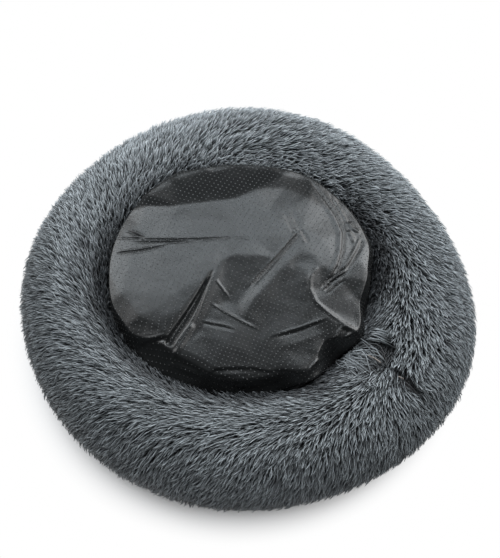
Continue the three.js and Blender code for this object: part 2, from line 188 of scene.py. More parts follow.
SHIFT = outline_shift()
WELL_RADIUS = OUTER_RADIUS - RING_WIDTH
PANEL_CENTRE = np.array(WELL_OFFSET)
TUBE_RISE = RING_HEIGHT - TUBE_CENTRE
TUBE_DROP = TUBE_CENTRE + PRESSED


def well_edge(angle):
    """Radius of the round well's edge, whose centre lies beside the ring's."""
    along = WELL_OFFSET[0] * np.cos(angle) + WELL_OFFSET[1] * np.sin(angle)
    across = WELL_OFFSET[1] * np.cos(angle) - WELL_OFFSET[0] * np.sin(angle)
    return along + np.sqrt(WELL_RADIUS**2 - across**2)


def section(angle):
    """Half-width, middle radius and rise of the ring's section."""
    inner = well_edge(angle)
    half = (outline_radius(angle) - inner) / 2
    rise = TUBE_RISE - PINCH_DEPTH * hump(turned_from(angle, END_SEAM) * WELL_RADIUS, PINCH_WIDTH)
    return half, inner + half, rise


def tube_point(angle, inset, turn):
    """Points of the ring, inset from its outer face, at angles round the ring and the tube."""
    half, middle, rise = section(angle)
    lift = np.where(np.sin(turn) > 0, rise, TUBE_DROP)
    height = TUBE_CENTRE + (lift - inset) * np.sin(turn)
    radius = middle + (half - inset) * np.cos(turn)
    points = np.stack([radius * np.cos(angle), radius * np.sin(angle), np.maximum(height, inset)], -1)
    return points + SHIFT


def tube_outward(angle, turn):
    """Directions out of the ring's face."""
    return tube_point(angle, 0, turn) - tube_point(angle, ROOT_INSET, turn)


def slope_turn(angle, distance):
    """The tube angle where the upper inner slope is that far from the well's edge."""
    half = section(angle)[0]
    return math.pi - np.arccos(1 - distance / half)


def deselect():
    bpy.ops.object.select_all(action="DESELECT")


def finish_piece(piece, name, material):
    """Names a piece and gives it its material, with smooth faces."""
    piece.name = name
    piece.data.name = name
    piece.data.materials.clear()
    piece.data.materials.append(material)
    piece.data.polygons.foreach_set("use_smooth", np.ones(len(piece.data.polygons), bool))
    piece.data.update()
    return piece


def coordinates(piece):
    found = np.empty(len(piece.data.vertices) * 3)
    piece.data.vertices.foreach_get("co", found)
    return found.reshape(-1, 3)


def shape_to(piece, points):
    piece.data.vertices.foreach_set("co", np.ascontiguousarray(points, dtype=np.float32).ravel())
    piece.data.update()


def tube_form(segments, sides):
    """A torus primitive, with the ring and tube steps of each of its points."""
    deselect()
    bpy.ops.mesh.primitive_torus_add(major_segments=segments, minor_segments=sides,
                                     major_radius=1, minor_radius=0.25)
    piece = bpy.context.object
    x, y, z = coordinates(piece).T
    ring = np.round(np.arctan2(y, x) / TURN * segments).astype(int) % segments
    tube = np.round(np.arctan2(z, np.hypot(x, y) - 1) / TURN * sides).astype(int) % sides
    return piece, ring, tube


def round_form(segments, rings):
    """A grid primitive to be wrapped round a middle: the segment and the ring of each point."""
    deselect()
    bpy.ops.mesh.primitive_grid_add(x_subdivisions=segments, y_subdivisions=rings, size=2)
    piece = bpy.context.object
    x, y, _ = coordinates(piece).T
    segment = np.round((x + 1) / 2 * segments).astype(int) % segments
    ring = np.round((y + 1) / 2 * rings).astype(int)
    return piece, segment, ring


def close_form(piece):
    """Joins the wrapped grid's two ends, and its points at either middle."""
    bpy.context.view_layer.objects.active = piece
    bpy.ops.object.mode_set(mode="EDIT")
    bpy.ops.mesh.select_all(action="SELECT")
    bpy.ops.mesh.remove_doubles(threshold=MERGE_DISTANCE)
    bpy.ops.object.mode_set(mode="OBJECT")


# Shader maths: a socket on which Python's operators build nodes

class Wire:
    """One socket of a node tree, or what is worked out from it."""

    def __init__(self, tree, socket):
        self.tree = tree
        self.socket = socket

    def maths(self, operation, *others):
        return self.tree.add("ShaderNodeMath", {"operation": operation}, (self, *others))[0]

    def __add__(self, other):
        return self.maths("ADD", other)

    def __mul__(self, other):
        return self.maths("MULTIPLY", other)

    def __truediv__(self, other):
        return self.maths("DIVIDE", other)

    __radd__ = __add__
    __rmul__ = __mul__

    def sine(self):
        return self.maths("SINE")

    def floor(self):
        return self.maths("FLOOR")

    def between(self, low, high):
        """0 below low, 1 above high, smooth between."""
        sockets = (self, low, high, 0.0, 1.0)
        return self.tree.add("ShaderNodeMapRange", {"interpolation_type": "SMOOTHSTEP"}, sockets)[0]


class Tree:
    """The nodes of a material or world, built by expressions."""

    def __init__(self, owner):
        owner.use_nodes = True
        self.nodes = owner.node_tree.nodes
        self.links = owner.node_tree.links

    def plug(self, socket, value):
        if isinstance(value, Wire):
            self.links.new(value.socket, socket)
        else:
            socket.default_value = value

    def add(self, kind, settings=None, sockets=()):
        """A node with its settings or its ramp's stops made first, then its sockets, by order or
        by name."""
        node = self.nodes.new(kind)
        for key, value in (settings or {}).items():
            if key == "stops":
                set_stops(node.color_ramp.elements, value)
            else:
                setattr(node, key, value)
        named = sockets.items() if isinstance(sockets, dict) else enumerate(sockets)
        for key, value in named:
            self.plug(node.inputs[key], value)
        return [Wire(self, output) for output in node.outputs]


def set_stops(elements, stops):
    """The places and colours of a ramp."""
    while len(elements) < len(stops):
        elements.new(0.5)
    for element, (position, colour) in zip(elements, stops):
        element.position = position
        element.color = (*colour, 1)


class Finish(Tree):
    """A material with its surface values."""

    def __init__(self, name, **surface):
        self.material = bpy.data.materials.new(name)
        super().__init__(self.material)
        self.surface = self.nodes["Principled BSDF"]
        for socket, value in surface.items():
            self.plug(self.surface.inputs[socket.replace("_", " ")], value)

    def object_place(self):
        return self.add("ShaderNodeTexCoord")[3]

    def own_map(self, name):
        """The two places of the piece's own map."""
        place = self.add("ShaderNodeUVMap", {"uv_map": name})[0]
        return self.add("ShaderNodeSeparateXYZ", None, (place,))[:2]

    def tone(self):
        """Tone of a strand or dot, from 0 to 1 by its column of the map, and the place in its row."""
        across, along = self.own_map("OFBake")
        return (across * TONES).floor() / (TONES - 1), along

    def noise(self, place, scale, detail=2.0, roughness=0.5):
        sockets = {"Vector": place, "Scale": scale, "Detail": detail, "Roughness": roughness}
        return self.add("ShaderNodeTexNoise", None, sockets)[0]

    def ramp(self, value, stops):
        return self.add("ShaderNodeValToRGB", {"stops": stops}, (value,))[0]

    def blend(self, share, first, second, kind="MIX"):
        first, second = [c if isinstance(c, Wire) else (*c, 1) for c in (first, second)]
        settings = {"data_type": "RGBA", "blend_type": kind}
        return self.add("ShaderNodeMix", settings, {0: share, 6: first, 7: second})[2]

    # what changes over the surface: its colour, roughness and relief

    def colour(self, value):
        self.plug(self.surface.inputs["Base Color"], value)

    def rough(self, value):
        self.plug(self.surface.inputs["Roughness"], value)

    def relief(self, height, distance):
        bump = self.add("ShaderNodeBump", None, {"Height": height, "Distance": distance})[0]
        self.plug(self.surface.inputs["Normal"], bump)


def fur_finish():
    """Polyester pile: dark at its roots as painted shade deep in the pile, paler and a little cooler at its
    tips, tone by tone.
    """
    fur = Finish("long_pile", Roughness=0.55, Specular_IOR_Level=0.4)
    tone, along = fur.tone()
    shade = fur.ramp(along, (
        (0.0, (0.018, 0.020, 0.022)),
        (0.35, (0.050, 0.057, 0.062)),
        (0.65, (0.25, 0.28, 0.30)),
        (1.0, (0.50, 0.55, 0.58)),
    ))
    # each tone's level carries painted light and shade as well as the pile's random tone
    level = fur.ramp(tone, (
        (0.0, (0.10, 0.10, 0.105)),
        (0.25, (0.48, 0.48, 0.485)),
        (0.5, (0.72, 0.72, 0.72)),
        (1.0, (1, 1, 1)),
    ))
    fur.colour(fur.blend(1.0, shade, level, "MULTIPLY"))
    return fur.material


def backing_finish():
    """Dark knit that the pile grows from."""
    backing = Finish("knitted_backing", Roughness=0.95, Specular_IOR_Level=0.2)
    place = backing.object_place()
    fine = backing.noise(place, 900, 3.0)
    coarse = backing.noise(place, 60)
    backing.colour(backing.ramp(fine * 0.6 + coarse * 0.4, (
        (0.3, (0.008, 0.009, 0.010)), (0.7, (0.030, 0.033, 0.036)))))
    backing.relief(fine, 0.4 * MM)
    return backing.material


WEAVE_PITCH = 0.7 * MM


def grip_cloth_finish():
    """Coated cloth: fine plain weave under a satin coat, rubbed a little unevenly."""
    cloth = Finish("grip_cloth", Specular_IOR_Level=0.33)
    across, along = cloth.own_map("Flat")
    warp = (across * (TURN / WEAVE_PITCH)).sine()
    weft = (along * (TURN / WEAVE_PITCH)).sine()
    weave = warp * weft * 0.5 + 0.5
    place = cloth.object_place()
    patch = cloth.noise(place, 14, 3.0)
    sag = cloth.noise(place, 26)
    crumple = cloth.noise(place, 60)
    cloth.colour(cloth.ramp(patch * 0.7 + weave * 0.3, (
        (0.25, (0.005, 0.0055, 0.0058)), (0.75, (0.008, 0.0088, 0.0092)))))
    cloth.rough(patch * 0.08 + 0.23)
    cloth.relief(weave * 0.12 + crumple + sag * 5, 0.14 * MM)
    return cloth.material


def dot_finish():
    """Rubbery dots, pale on the flat of the panel and darkened by painted shade, nearly black, on its walls,
    tone by tone.
    """
    dots = Finish("grip_dots", Roughness=0.45, Specular_IOR_Level=0.45)
    tone, _ = dots.tone()
    dots.colour(dots.ramp(tone, ((0, (0.006, 0.0065, 0.007)), (1, (0.054, 0.058, 0.060)))))
    return dots.material


def lining_finish():
    """Thin white non-woven sheet."""
    lining = Finish("nonwoven_lining", Roughness=0.9)
    fibres = lining.noise(lining.object_place(), 500, 4.0, 0.7)
    lining.colour(lining.ramp(fibres, ((0.3, (0.55, 0.55, 0.53)), (0.7, (0.78, 0.78, 0.76)))))
    lining.relief(fibres, 0.3 * MM)
    return lining.material


def fibre_finish():
    """Loose white filling."""
    fibre = Finish("polyester_fibre", Roughness=0.95)
    fluff = fibre.noise(fibre.object_place(), 120, 5.0, 0.7)
    fibre.colour(fibre.ramp(fluff, ((0.3, (0.70, 0.70, 0.69)), (0.7, (0.92, 0.92, 0.91)))))
    fibre.relief(fluff, 2 * MM)
    return fibre.material


def frayed_finish():
    """Pale brown threads of the strip's cut edge."""
    frayed = Finish("frayed_edge", Roughness=0.8)
    twist = frayed.noise(frayed.object_place(), 500, 3.0)
    frayed.colour(frayed.ramp(twist, ((0.3, (0.12, 0.104, 0.093)), (0.7, (0.25, 0.222, 0.2)))))
    return frayed.material


def thread_finish():
    """Dark overlocked seam allowance."""
    thread = Finish("seam_thread", Roughness=0.75)
    twist = thread.noise(thread.object_place(), 700, 3.0)
    thread.colour(thread.ramp(twist, ((0.3, (0.020, 0.021, 0.023)), (0.7, (0.060, 0.062, 0.066)))))
    thread.relief(twist, 0.4 * MM)
    return thread.material


# Pile: every strand is a closed, tapering, three-sided lock

STRAND_SIDES = 3
STRAND_FOOT = 0.35
STRAND_TOP = 0.8
STRAND_SIZES = (0.7, 1.25)
# Powers by which a strand runs on and rises along its length, and the angle of its sway
RUN_POWER = 1.25
RISE_POWER = 1.7
SWAY_ANGLE = 4.2
# What a strand's map leaves free at the sides and at the ends of its tone's column
COLUMN_MARGIN = 0.1
ROW_MARGIN = 0.01
# Each kind of strand: the spacing of its roots, its steps, its half-widths at all of them but the
# tip, how far it runs over the ring, its tip's inset from the ring's face and the size of its curl
LOCKS = {
    "spacing": 3.15 * MM,
    "steps": np.array([0, 0.3, 0.6, 0.85, 1.0]),
    "half_widths": np.array([0.6, 0.85, 0.85, 0.5]) * MM,
    "runs": (15 * MM, 25 * MM),
    "tips": (-2.5 * MM, 5 * MM),
    "curl": 1.5 * MM,
}
HAIRS = {
    "spacing": 3.3 * MM,
    "steps": np.array([0, 0.55, 1.0]),
    "half_widths": np.array([0.4, 0.4]) * MM,
    "runs": (14 * MM, 25 * MM),
    "tips": (-3 * MM, 3 * MM),
    "curl": 2 * MM,
}
# The sleeping side's locks are longer, and their tips are inset from its own face
SLEEPING_LOCKS = {**LOCKS, "runs": (22 * MM, 34 * MM), "tips": (-1 * MM, 3 * MM), "curl": 1.6 * MM}


def unit(directions):
    """Directions brought to length 1."""
    return directions / (np.linalg.norm(directions, axis=-1, keepdims=True) + 1e-12)


def strand_loops(rings):
    """Corner numbers, corners of each face and map places of one strand of that many rings."""
    corners, sizes, across, along = [], [], [], []

    def face(points):
        sizes.append(len(points))
        for index, side, ring in points:
            corners.append(index)
            across.append(side)
            along.append(ring)

    for ring in range(rings - 1):
        for side in range(STRAND_SIDES):
            left, right = ring * STRAND_SIDES + side, ring * STRAND_SIDES + (side + 1) % STRAND_SIDES
            face([(left, 0, ring), (right, 1, ring),
                  (right + STRAND_SIDES, 1, ring + 1), (left + STRAND_SIDES, 0, ring + 1)])
    last = (rings - 1) * STRAND_SIDES
    for side in range(STRAND_SIDES):
        face([(last + side, 0, rings - 1), (last + (side + 1) % STRAND_SIDES, 1, rings - 1),
              (last + STRAND_SIDES, 0.5, rings)])
    face([(2, 0, 0), (1, 1, 0), (0, 0.5, 0.05)])
    return [np.array(values) for values in (corners, sizes, across, along)]


def strands(path, outward, half_widths, scale, tone):
    """Meshes of many strands. path is (count, steps, 3), and tone gives each one's column."""
    count, steps = path.shape[:2]
    rings = steps - 1
    travel = unit(np.gradient(path, axis=1))
    side = unit(np.cross(outward[:, None, :], travel))
    up = np.cross(travel, side)
    width = half_widths[None, :, None] * scale[:, None, None]
    body = path[:, :rings]
    left = body - side[:, :rings] * width - up[:, :rings] * width * STRAND_FOOT
    right = body + side[:, :rings] * width - up[:, :rings] * width * STRAND_FOOT
    top = body + up[:, :rings] * width * STRAND_TOP
    ring_points = np.stack([left, right, top], 2).reshape(count, rings * STRAND_SIDES, 3)
    points = np.concatenate([ring_points, path[:, rings:]], 1)
    corners, sizes, across, along = strand_loops(rings)
    stride = rings * STRAND_SIDES + 1
    loops = (np.arange(count)[:, None] * stride + corners[None, :]).ravel()
    column = (tone[:, None] + COLUMN_MARGIN + across[None, :] * (1 - 2 * COLUMN_MARGIN)) / TONES
    level = np.broadcast_to(along / rings * (1 - 2 * ROW_MARGIN) + ROW_MARGIN, column.shape)
    return {
        "points": points.reshape(-1, 3),
        "loops": loops,
        "sizes": np.tile(sizes, count),
        "map": np.stack([column, level], -1).reshape(-1, 2),
    }


def mesh_piece(name, groups, material, map_name):
    """One mesh from groups of points, face corners, face sizes and map places."""
    points = np.concatenate([group["points"] for group in groups])
    starts = np.cumsum([0] + [len(group["points"]) for group in groups[:-1]])
    loops = np.concatenate([group["loops"] + start for group, start in zip(groups, starts)])
    sizes = np.concatenate([group["sizes"] for group in groups])
    places = np.concatenate([group["map"] for group in groups])
    mesh = bpy.data.meshes.new(name)
    mesh.vertices.add(len(points))
    mesh.vertices.foreach_set("co", points.astype(np.float32).ravel())
    mesh.loops.add(len(loops))
    mesh.loops.foreach_set("vertex_index", loops.astype(np.int32))
    mesh.polygons.add(len(sizes))
    mesh.polygons.foreach_set("loop_start", (np.cumsum(sizes) - sizes).astype(np.int32))
    mesh.polygons.foreach_set("loop_total", sizes.astype(np.int32))
    mesh.uv_layers.new(name=map_name).data.foreach_set("uv", places.astype(np.float32).ravel())
    mesh.update(calc_edges=True)
    piece = bpy.data.objects.new(name, mesh)
    bpy.context.collection.objects.link(piece)
    return finish_piece(piece, name, material)


def hug_distance(angle):
    """How far the panel hangs over the ring from the well's edge."""
    return OVERHANG * around(OVERHANG_SHARES, angle)


def ring_roots(spacing, draw):
    """Even, jittered roots over the strip, angles round the ring and round the tube, with fewer
    and thicker locks on the underside."""
    angles, turns, scales = [], [], []
    for low, high, step in ((SLEEPING_SEAM, UNDER_TURN, spacing * UNDER_SPARSE),
                            (UNDER_TURN, BASE_SEAM, spacing)):
        rows = int((high - low) * (RING_WIDTH / 2 - ROOT_INSET) / step)
        for row in range(rows):
            turn = low + (high - low) * (row + 0.5) / rows
            radius = WELL_RADIUS + RING_WIDTH / 2 * (1 + math.cos(turn))
            count = int(TURN * radius / step)
            jitter = draw.uniform(0, 1) + draw.uniform(-ROW_JITTER, ROW_JITTER, count)
            angles.append((np.arange(count) + jitter) / count * TURN)
            turns.append(turn + draw.uniform(-TURN_JITTER, TURN_JITTER, count) * (high - low) / rows)
            scales.append(np.full(count, step / spacing))
    angle, turn, scale = [np.concatenate(values) for values in (angles, turns, scales)]
    free = turn < slope_turn(angle, hug_distance(angle) - UNDER_PANEL)
    return angle[free], turn[free], scale[free]


# Lie of the pile in degrees, every 30 degrees from +X, on the ring's outer side and near the panel
OUTER_LIE = (27, 32, 40, 35, 40, 30, 15, 16, 24, 30, 35, 28)
INNER_LIE = (100, 62, 75, 80, 50, 42, 48, 52, 75, 86, 115, 95)
# Angle round the tube at which the inner lie begins, and over which it takes the outer's place
INNER_FROM = math.radians(45)
INNER_SPAN = math.radians(85)
# How far the lie wanders in degrees, in wide and in narrow waves, and how far from strand to
# strand in radians, everywhere and beside the panel
LIE_WAVES = (9, 8)
LIE_SPREAD = 0.16
LOOSE_SPREAD = 0.3
# How far the pile is darkened with painted shade and pressed beside the panel, and how much painted
# light or shade its tone takes on the ring's outer side, at the same places
EDGE_PAINTED_SHADES = (1.4, 1.0, 0.3, 0.2, 0.6, 1.0, 1.6, 1.6, 1.9, 1.9, 1.2, 1.0)
EDGE_PRESS = (0.6, 0.4, 0.1, 0, 0.3, 0.35, 0.3, 0.15, 0.05, 0, 0.5, 0.25)
OUTER_PAINTED_LIGHT = (1.9, 1.35, 1.2, 1.0, 1.3, 1.3, 0.68, 0.8, 1.1, 1.7, 1.35, 1.65)
# Where the painted shade beside the panel starts to fade and over which width, the share of it
# that counts, and the most that it can be
EDGE_SHADE_START = 4 * MM
EDGE_SHADE_WIDTH = 56 * MM
EDGE_SHADE_SHARE = 0.8
EDGE_SHADE_MOST = 0.95
# Beside the panel: how far out the pile lies loosely, how far out and how far it stands up
# unless it is pressed, the least share of that at which it is pushed away from the panel's wall,
# and how far at most
LOOSE_WIDTH = 28 * MM
UPRIGHT_WIDTH = 14 * MM
UPRIGHT_RISE = 11 * MM
UPRIGHT_LEAST = 0.02
PANEL_PUSH = 12 * MM
PANEL_CLEARANCE = 0.5 * MM
# Roots go on this far under the panel's edge
UNDER_PANEL = 4 * MM

# Inset of the tips where the pile is pressed, how much deeper they lie near the floor, and how
# unevenly they end
PRESSED_TIP = 11 * MM
FLATTENED = 3.5 * MM
TIP_WAVE = 1.2 * MM
CLUMP_WAVE = 3 * MM
# Angle round the tube from which the pile is flattened and darkened with painted shade towards the
# floor, and over which each grows
LOWER_SIDE = math.radians(25)
FLATTENED_SPAN = math.radians(50)
LOWER_SPAN = math.radians(40)
# Where most of a strand lies, as a share of its run, how much its root's place counts beside that
# in pressing it and in its painted shade, and how much shorter it is where pressed and where upright
MAIN_STEP = 0.75
ROOT_PRESS = 0.6
ROOT_SHADE = 0.5
PRESSED_SHORTER = 0.45
UPRIGHT_SHORTER = 0.4

# The parting at the strip's end seam, and the hollow beside it next to the panel, both pressed and
# darkened with painted shade
PARTING = math.radians(-37.5)
PARTING_WIDTH = 7.5 * MM
PARTING_TURNS = (math.radians(38), math.radians(92))
PARTING_FADES = (0.25, 0.2)
PARTING_SHADE = 1.8
# How much straighter the pile runs beside the parting, in degrees, and how far from it
PARTING_LEAN = 22
PARTING_BEND = math.radians(13)
HOLLOW = (math.radians(-34), math.radians(112))
HOLLOW_SIZE = (24 * MM, 29 * MM)
# How far out the hollow ends and over which part of that it fades, in its sizes
HOLLOW_REACH = 1.15
HOLLOW_FADE = 0.45

# A strand's tone: how light it is deep in the pile and how much lighter at its face, as painted
# shade and light, how it varies by patch, strand and clump, and how dark the ring's lower side is,
# as painted shade
DEEP_PAINTED_SHADE_TONE = 0.2
FACE_PAINTED_LIGHT_TONE = 0.6
PATCH_TONE = 2
TONE_SPREAD = 3
CLUMP_TONE = 5
LOWER_PAINTED_SHADE = 0.65
# How much of its level and of its patch a strand loses where painted shade darkens the pile
SHADED_LEVEL = 0.95
SHADED_PATCH = 0.7
# Angle round the tube up to which the painted light and shade round the ring's outer side count, and over
# which they fade
OUTER_PAINTED_LIGHT_TO = math.radians(65)
OUTER_PAINTED_LIGHT_SPAN = math.radians(40)
# Angle round the tube below which the lower side's painted shade ends again, and over which
FRINGE_FROM = math.radians(-18)
FRINGE_SPAN = math.radians(25)

lie_noise = waves(11, 14, 9)
fine_noise = waves(12, 30, 34)
tone_noise = waves(13, 24, 12)


def pile_lie(angle, turn):
    """How the pile lies: 0 runs outwards over the ring, a quarter turn runs round it."""
    inner = smooth((turn - INNER_FROM) / INNER_SPAN)
    lie = around(OUTER_LIE, angle) * (1 - inner) + around(INNER_LIE, angle) * inner
    lie = lie - PARTING_LEAN * hump(turned_from(angle, PARTING), PARTING_BEND) * (1 - inner)
    wide, narrow = LIE_WAVES
    return np.radians(lie + wide * lie_noise(angle, turn) + narrow * fine_noise(angle, turn))


def panel_off(angle, turn):
    """Distance from the panel's edge, over the ring."""
    return (slope_turn(angle, hug_distance(angle)) - turn) * section(angle)[0]


def crushed(angle, turn):
    """Towards 1 where painted shade darkens the pile, and where it is pressed: in the parting,
    the hollow and beside the panel."""
    half, middle, _ = section(angle)
    radius = middle + half * np.cos(turn)
    low, high = PARTING_TURNS
    length = smooth((turn - low) / PARTING_FADES[0]) * smooth((high - turn) / PARTING_FADES[1])
    line = hump(turned_from(angle, PARTING) * radius, PARTING_WIDTH)
    parting = smooth(PARTING_SHADE * line) * length
    across = turned_from(angle, HOLLOW[0]) * radius / HOLLOW_SIZE[0]
    off = np.hypot(across, (turn - HOLLOW[1]) * half / HOLLOW_SIZE[1])
    hollow = smooth((HOLLOW_REACH - off) / HOLLOW_FADE)
    shade = 1 - smooth((panel_off(angle, turn) - EDGE_SHADE_START) / EDGE_SHADE_WIDTH)
    beside = np.minimum(EDGE_SHADE_SHARE * (around(EDGE_PAINTED_SHADES, angle) * shade), EDGE_SHADE_MOST)
    apart = np.maximum(parting, hollow)
    return np.maximum(apart, beside), np.maximum(apart, beside * around(EDGE_PRESS, angle))


def chance(first, second):
    """An even number from 0 to 1 for each pair of whole numbers."""
    return np.sin(first * 12.9898 + second * 78.233) * 43758.5453 % 1


def clumps(angle, turn):
    """Middle of the clump to which each strand belongs, and the clump's own number from 0 to 1."""
    row_step = CLUMP_SPACING / (RING_WIDTH / 2)
    row = np.floor(turn / row_step)
    radius = WELL_RADIUS + RING_WIDTH / 2 * (1 + np.cos((row + 0.5) * row_step))
    count = np.floor(TURN * radius / CLUMP_SPACING)
    start = chance(row, 3)
    column = np.floor(angle / TURN * count + start)
    middle = (column + 0.5 - start + CLUMP_JITTER * (chance(row, column) - 0.5)) / count * TURN
    turn_middle = (row + 0.5 + CLUMP_JITTER * (chance(column, row) - 0.5)) * row_step
    return middle, turn_middle, chance(row + 5, column + 9)


def strand_course(step, wave, swing):
    """How far a strand has run, risen and swayed at a step of its length."""
    sway = swing * np.sin(wave + step * SWAY_ANGLE) * step
    return step**RUN_POWER, 1 - (1 - step) ** RISE_POWER, sway


def ring_strands(kind, draw):
    """Strands of one kind all over the strip: their angles, paths, outward directions,
    half-widths, scales and tones."""
    angle, turn, size = ring_roots(kind["spacing"], draw)
    count = len(angle)
    half, middle, _ = section(angle)
    radius = middle + half * np.cos(turn)
    beside = panel_off(angle, turn)
    spread = LIE_SPREAD + LOOSE_SPREAD * (1 - smooth(beside / LOOSE_WIDTH))
    lie = pile_lie(angle, turn) + draw.normal(0, spread, count)
    run = draw.uniform(*kind["runs"], count)
    to_angle, to_turn, number = clumps(angle, turn)
    tip = draw.uniform(*kind["tips"], count) + TIP_WAVE * fine_noise(angle, turn)
    tip = tip + CLUMP_WAVE * (0.5 - number)
    # the pile near the floor is flattened against the ring
    tip = tip + FLATTENED * smooth((LOWER_SIDE - turn) / FLATTENED_SPAN)
    # a strand is pressed, and darkened with painted shade, as the place is where most of it lies
    fall = MAIN_STEP * run
    # the first share is painted shade on the pile, the second how far the pile is pressed
    dark, over = crushed(angle - np.sin(lie) * fall / radius, turn - np.cos(lie) * fall / half)
    root_painted_shade, over_root = crushed(angle, turn)
    low = np.maximum(over, ROOT_PRESS * over_root)
    dark = np.maximum(dark, ROOT_SHADE * root_painted_shade)
    tip = tip + (PRESSED_TIP - tip) * low
    upright = (1 - smooth(beside / UPRIGHT_WIDTH)) * (1 - around(EDGE_PRESS, angle)) * (1 - low)
    run = run * (1 - PRESSED_SHORTER * low) * (1 - UPRIGHT_SHORTER * upright)
    away = -np.cos(lie) / half
    along = -np.sin(lie) / radius
    wave = draw.uniform(0, TURN, count)
    swing = draw.normal(0, kind["curl"], count)
    path = []
    for step in kind["steps"]:
        onward, lift, sway = strand_course(step, wave, swing)
        inset = ROOT_INSET + (tip - ROOT_INSET) * lift
        pull = CLUMP_PULL * step**CLUMP_GATHER
        path.append(tube_point(
            angle + along * run * onward + np.cos(lie) * sway / radius + (to_angle - angle) * pull,
            inset,
            turn + away * run * onward - np.sin(lie) * sway / half + (to_turn - turn) * pull))
    path = clear_of_panel(np.stack(path, 1), angle, upright, kind["steps"])
    deepest, highest = kind["tips"][1], kind["tips"][0]
    raised = np.clip((deepest - tip) / (deepest - highest), 0, 1)
    tone = strand_tone(angle, turn, raised, dark, number, draw)
    scale = draw.uniform(*STRAND_SIZES, count) * size
    return angle, path, tube_outward(angle, turn), kind["half_widths"], scale, tone


def clear_of_panel(path, angle, upright, steps):
    """Strands beside the panel stand up and stay out of its wall, and all stay over the floor."""
    path[..., 2] += upright[:, None] * UPRIGHT_RISE * steps[None, :]
    off = path[..., :2] - SHIFT[:2]
    reach = np.linalg.norm(off, axis=2)
    wall = (well_edge(angle) + hug_distance(angle) + PANEL_CLEARANCE)[:, None]
    held = np.maximum(reach, np.minimum(wall, reach + PANEL_PUSH))
    held = reach + (held - reach) * (upright[:, None] > UPRIGHT_LEAST) * steps[None, :]
    path[..., :2] = SHIFT[:2] + off * (held / reach)[..., None]
    path[..., 2] = np.maximum(path[..., 2], FLOOR_CLEARANCE + STRAND_ROOM)
    return path


def strand_tone(angle, turn, raised, dark, number, draw):
    """A strand's tone: painted shade deep in the pile, beside the panel, in the parting and hollow and
    below the ring, and painted light and shade round the ring's outer side, over its random tone.
    """
    patch = tone_noise(angle, turn) * PATCH_TONE + draw.normal(0, TONE_SPREAD, len(angle))
    patch = patch + CLUMP_TONE * (number - 0.5)
    outer = 1 - smooth((turn - OUTER_PAINTED_LIGHT_TO) / OUTER_PAINTED_LIGHT_SPAN)
    # painted shade deep in the pile, and painted light and shade round the ring's outer side
    shade = (DEEP_PAINTED_SHADE_TONE + FACE_PAINTED_LIGHT_TONE * raised) * (1 + (around(OUTER_PAINTED_LIGHT, angle) - 1) * outer)
    # painted shade on the ring's lower side, which ends again at its fringe by the floor
    below = smooth((LOWER_SIDE - turn) / LOWER_SPAN)
    fringe = smooth((FRINGE_FROM - turn) / FRINGE_SPAN)
    shade = shade * (1 - LOWER_PAINTED_SHADE * below * (1 - fringe))
    level = TONES * shade * (1 - SHADED_LEVEL * dark)
    return nearest_tone(level + patch * (1 - SHADED_PATCH * dark))


def nearest_tone(level):
    """The whole number of a tone's column."""
    return np.clip(np.round(level), 0, TONES - 1)


def pile_sectors(name, sets, material):
    """The pile of one surface, shared out over sectors, so that each mesh stays small."""
    pieces = []
    for sector in range(SECTORS):
        groups = []
        for angle, path, outward, half_widths, scale, tone in sets:
            here = np.floor((angle % TURN) / TURN * SECTORS) == sector
            groups.append(strands(path[here], outward[here], half_widths, scale[here], tone[here]))
        piece = mesh_piece(f"{name}_{sector + 1}", groups, material, "OFBake")
        keep_above_floor(piece)
        pieces.append(piece)
    return pieces


def keep_above_floor(piece):
    points = coordinates(piece)
    points[:, 2] = np.maximum(points[:, 2], FLOOR_CLEARANCE)
    shape_to(piece, points)


def ring_pile(material):
    locks = ring_strands(LOCKS, rng)
    hairs = ring_strands(HAIRS, rng)
    return pile_sectors("ring_pile", [locks, hairs, *curls(rng), loose_loops()], material)


# Steps and half-widths of the tangled locks, the frayed threads and the seam's raw edges
CURL_STEPS = np.linspace(0, 1, 9)
CURL_WIDTHS = np.array([0.5, 0.7, 0.8, 0.8, 0.8, 0.75, 0.65, 0.5]) * MM
CURL_SIZES = (0.8, 1.2)
THREAD_STEPS = np.linspace(0, 1, 9)
THREAD_WIDTHS = np.full(8, 0.8) * MM
RIDGE_STEPS = np.linspace(0, 1, 65)
RIDGE_WIDTHS = np.full(64, 1.6) * MM
RIDGE_ROOM = 2 * MM


# How much a tuft fans out, the angle of its sway and the spread of its tones
TUFT_FAN = 1.2
TUFT_SWAY = 7
TUFT_TONES = 5


def tuft(start, end, insets, count, spread, curl, tone, draw):
    """Long locks from one place of the ring to another, each place an angle and a tube angle."""
    angle = math.radians(start[0]) + draw.normal(0, spread, count)
    turn = math.radians(start[1]) + draw.normal(0, 2 * spread, count)
    to_angle = math.radians(end[0]) + (angle - math.radians(start[0])) * TUFT_FAN
    to_angle = to_angle + draw.normal(0, spread / 2, count)
    to_turn = math.radians(end[1]) + draw.normal(0, 2 * spread, count)
    wave = draw.uniform(0, TURN, count)
    swing = draw.normal(0, curl, count)
    rise = draw.uniform(*insets, count)
    path = []
    for step in CURL_STEPS:
        sway = swing * np.sin(wave + step * TUFT_SWAY) * step**0.5 / WELL_RADIUS
        inset = ROOT_INSET + (rise - ROOT_INSET) * (1 - (1 - step) ** 3)
        place = turn + (to_turn - turn) * step
        path.append(tube_point(angle + (to_angle - angle) * step + sway, inset, place))
    tones = nearest_tone(tone + draw.normal(0, TUFT_TONES, count))
    scale = draw.uniform(*CURL_SIZES, count)
    return angle, np.stack(path, 1), tube_outward(angle, turn), CURL_WIDTHS, scale, tones


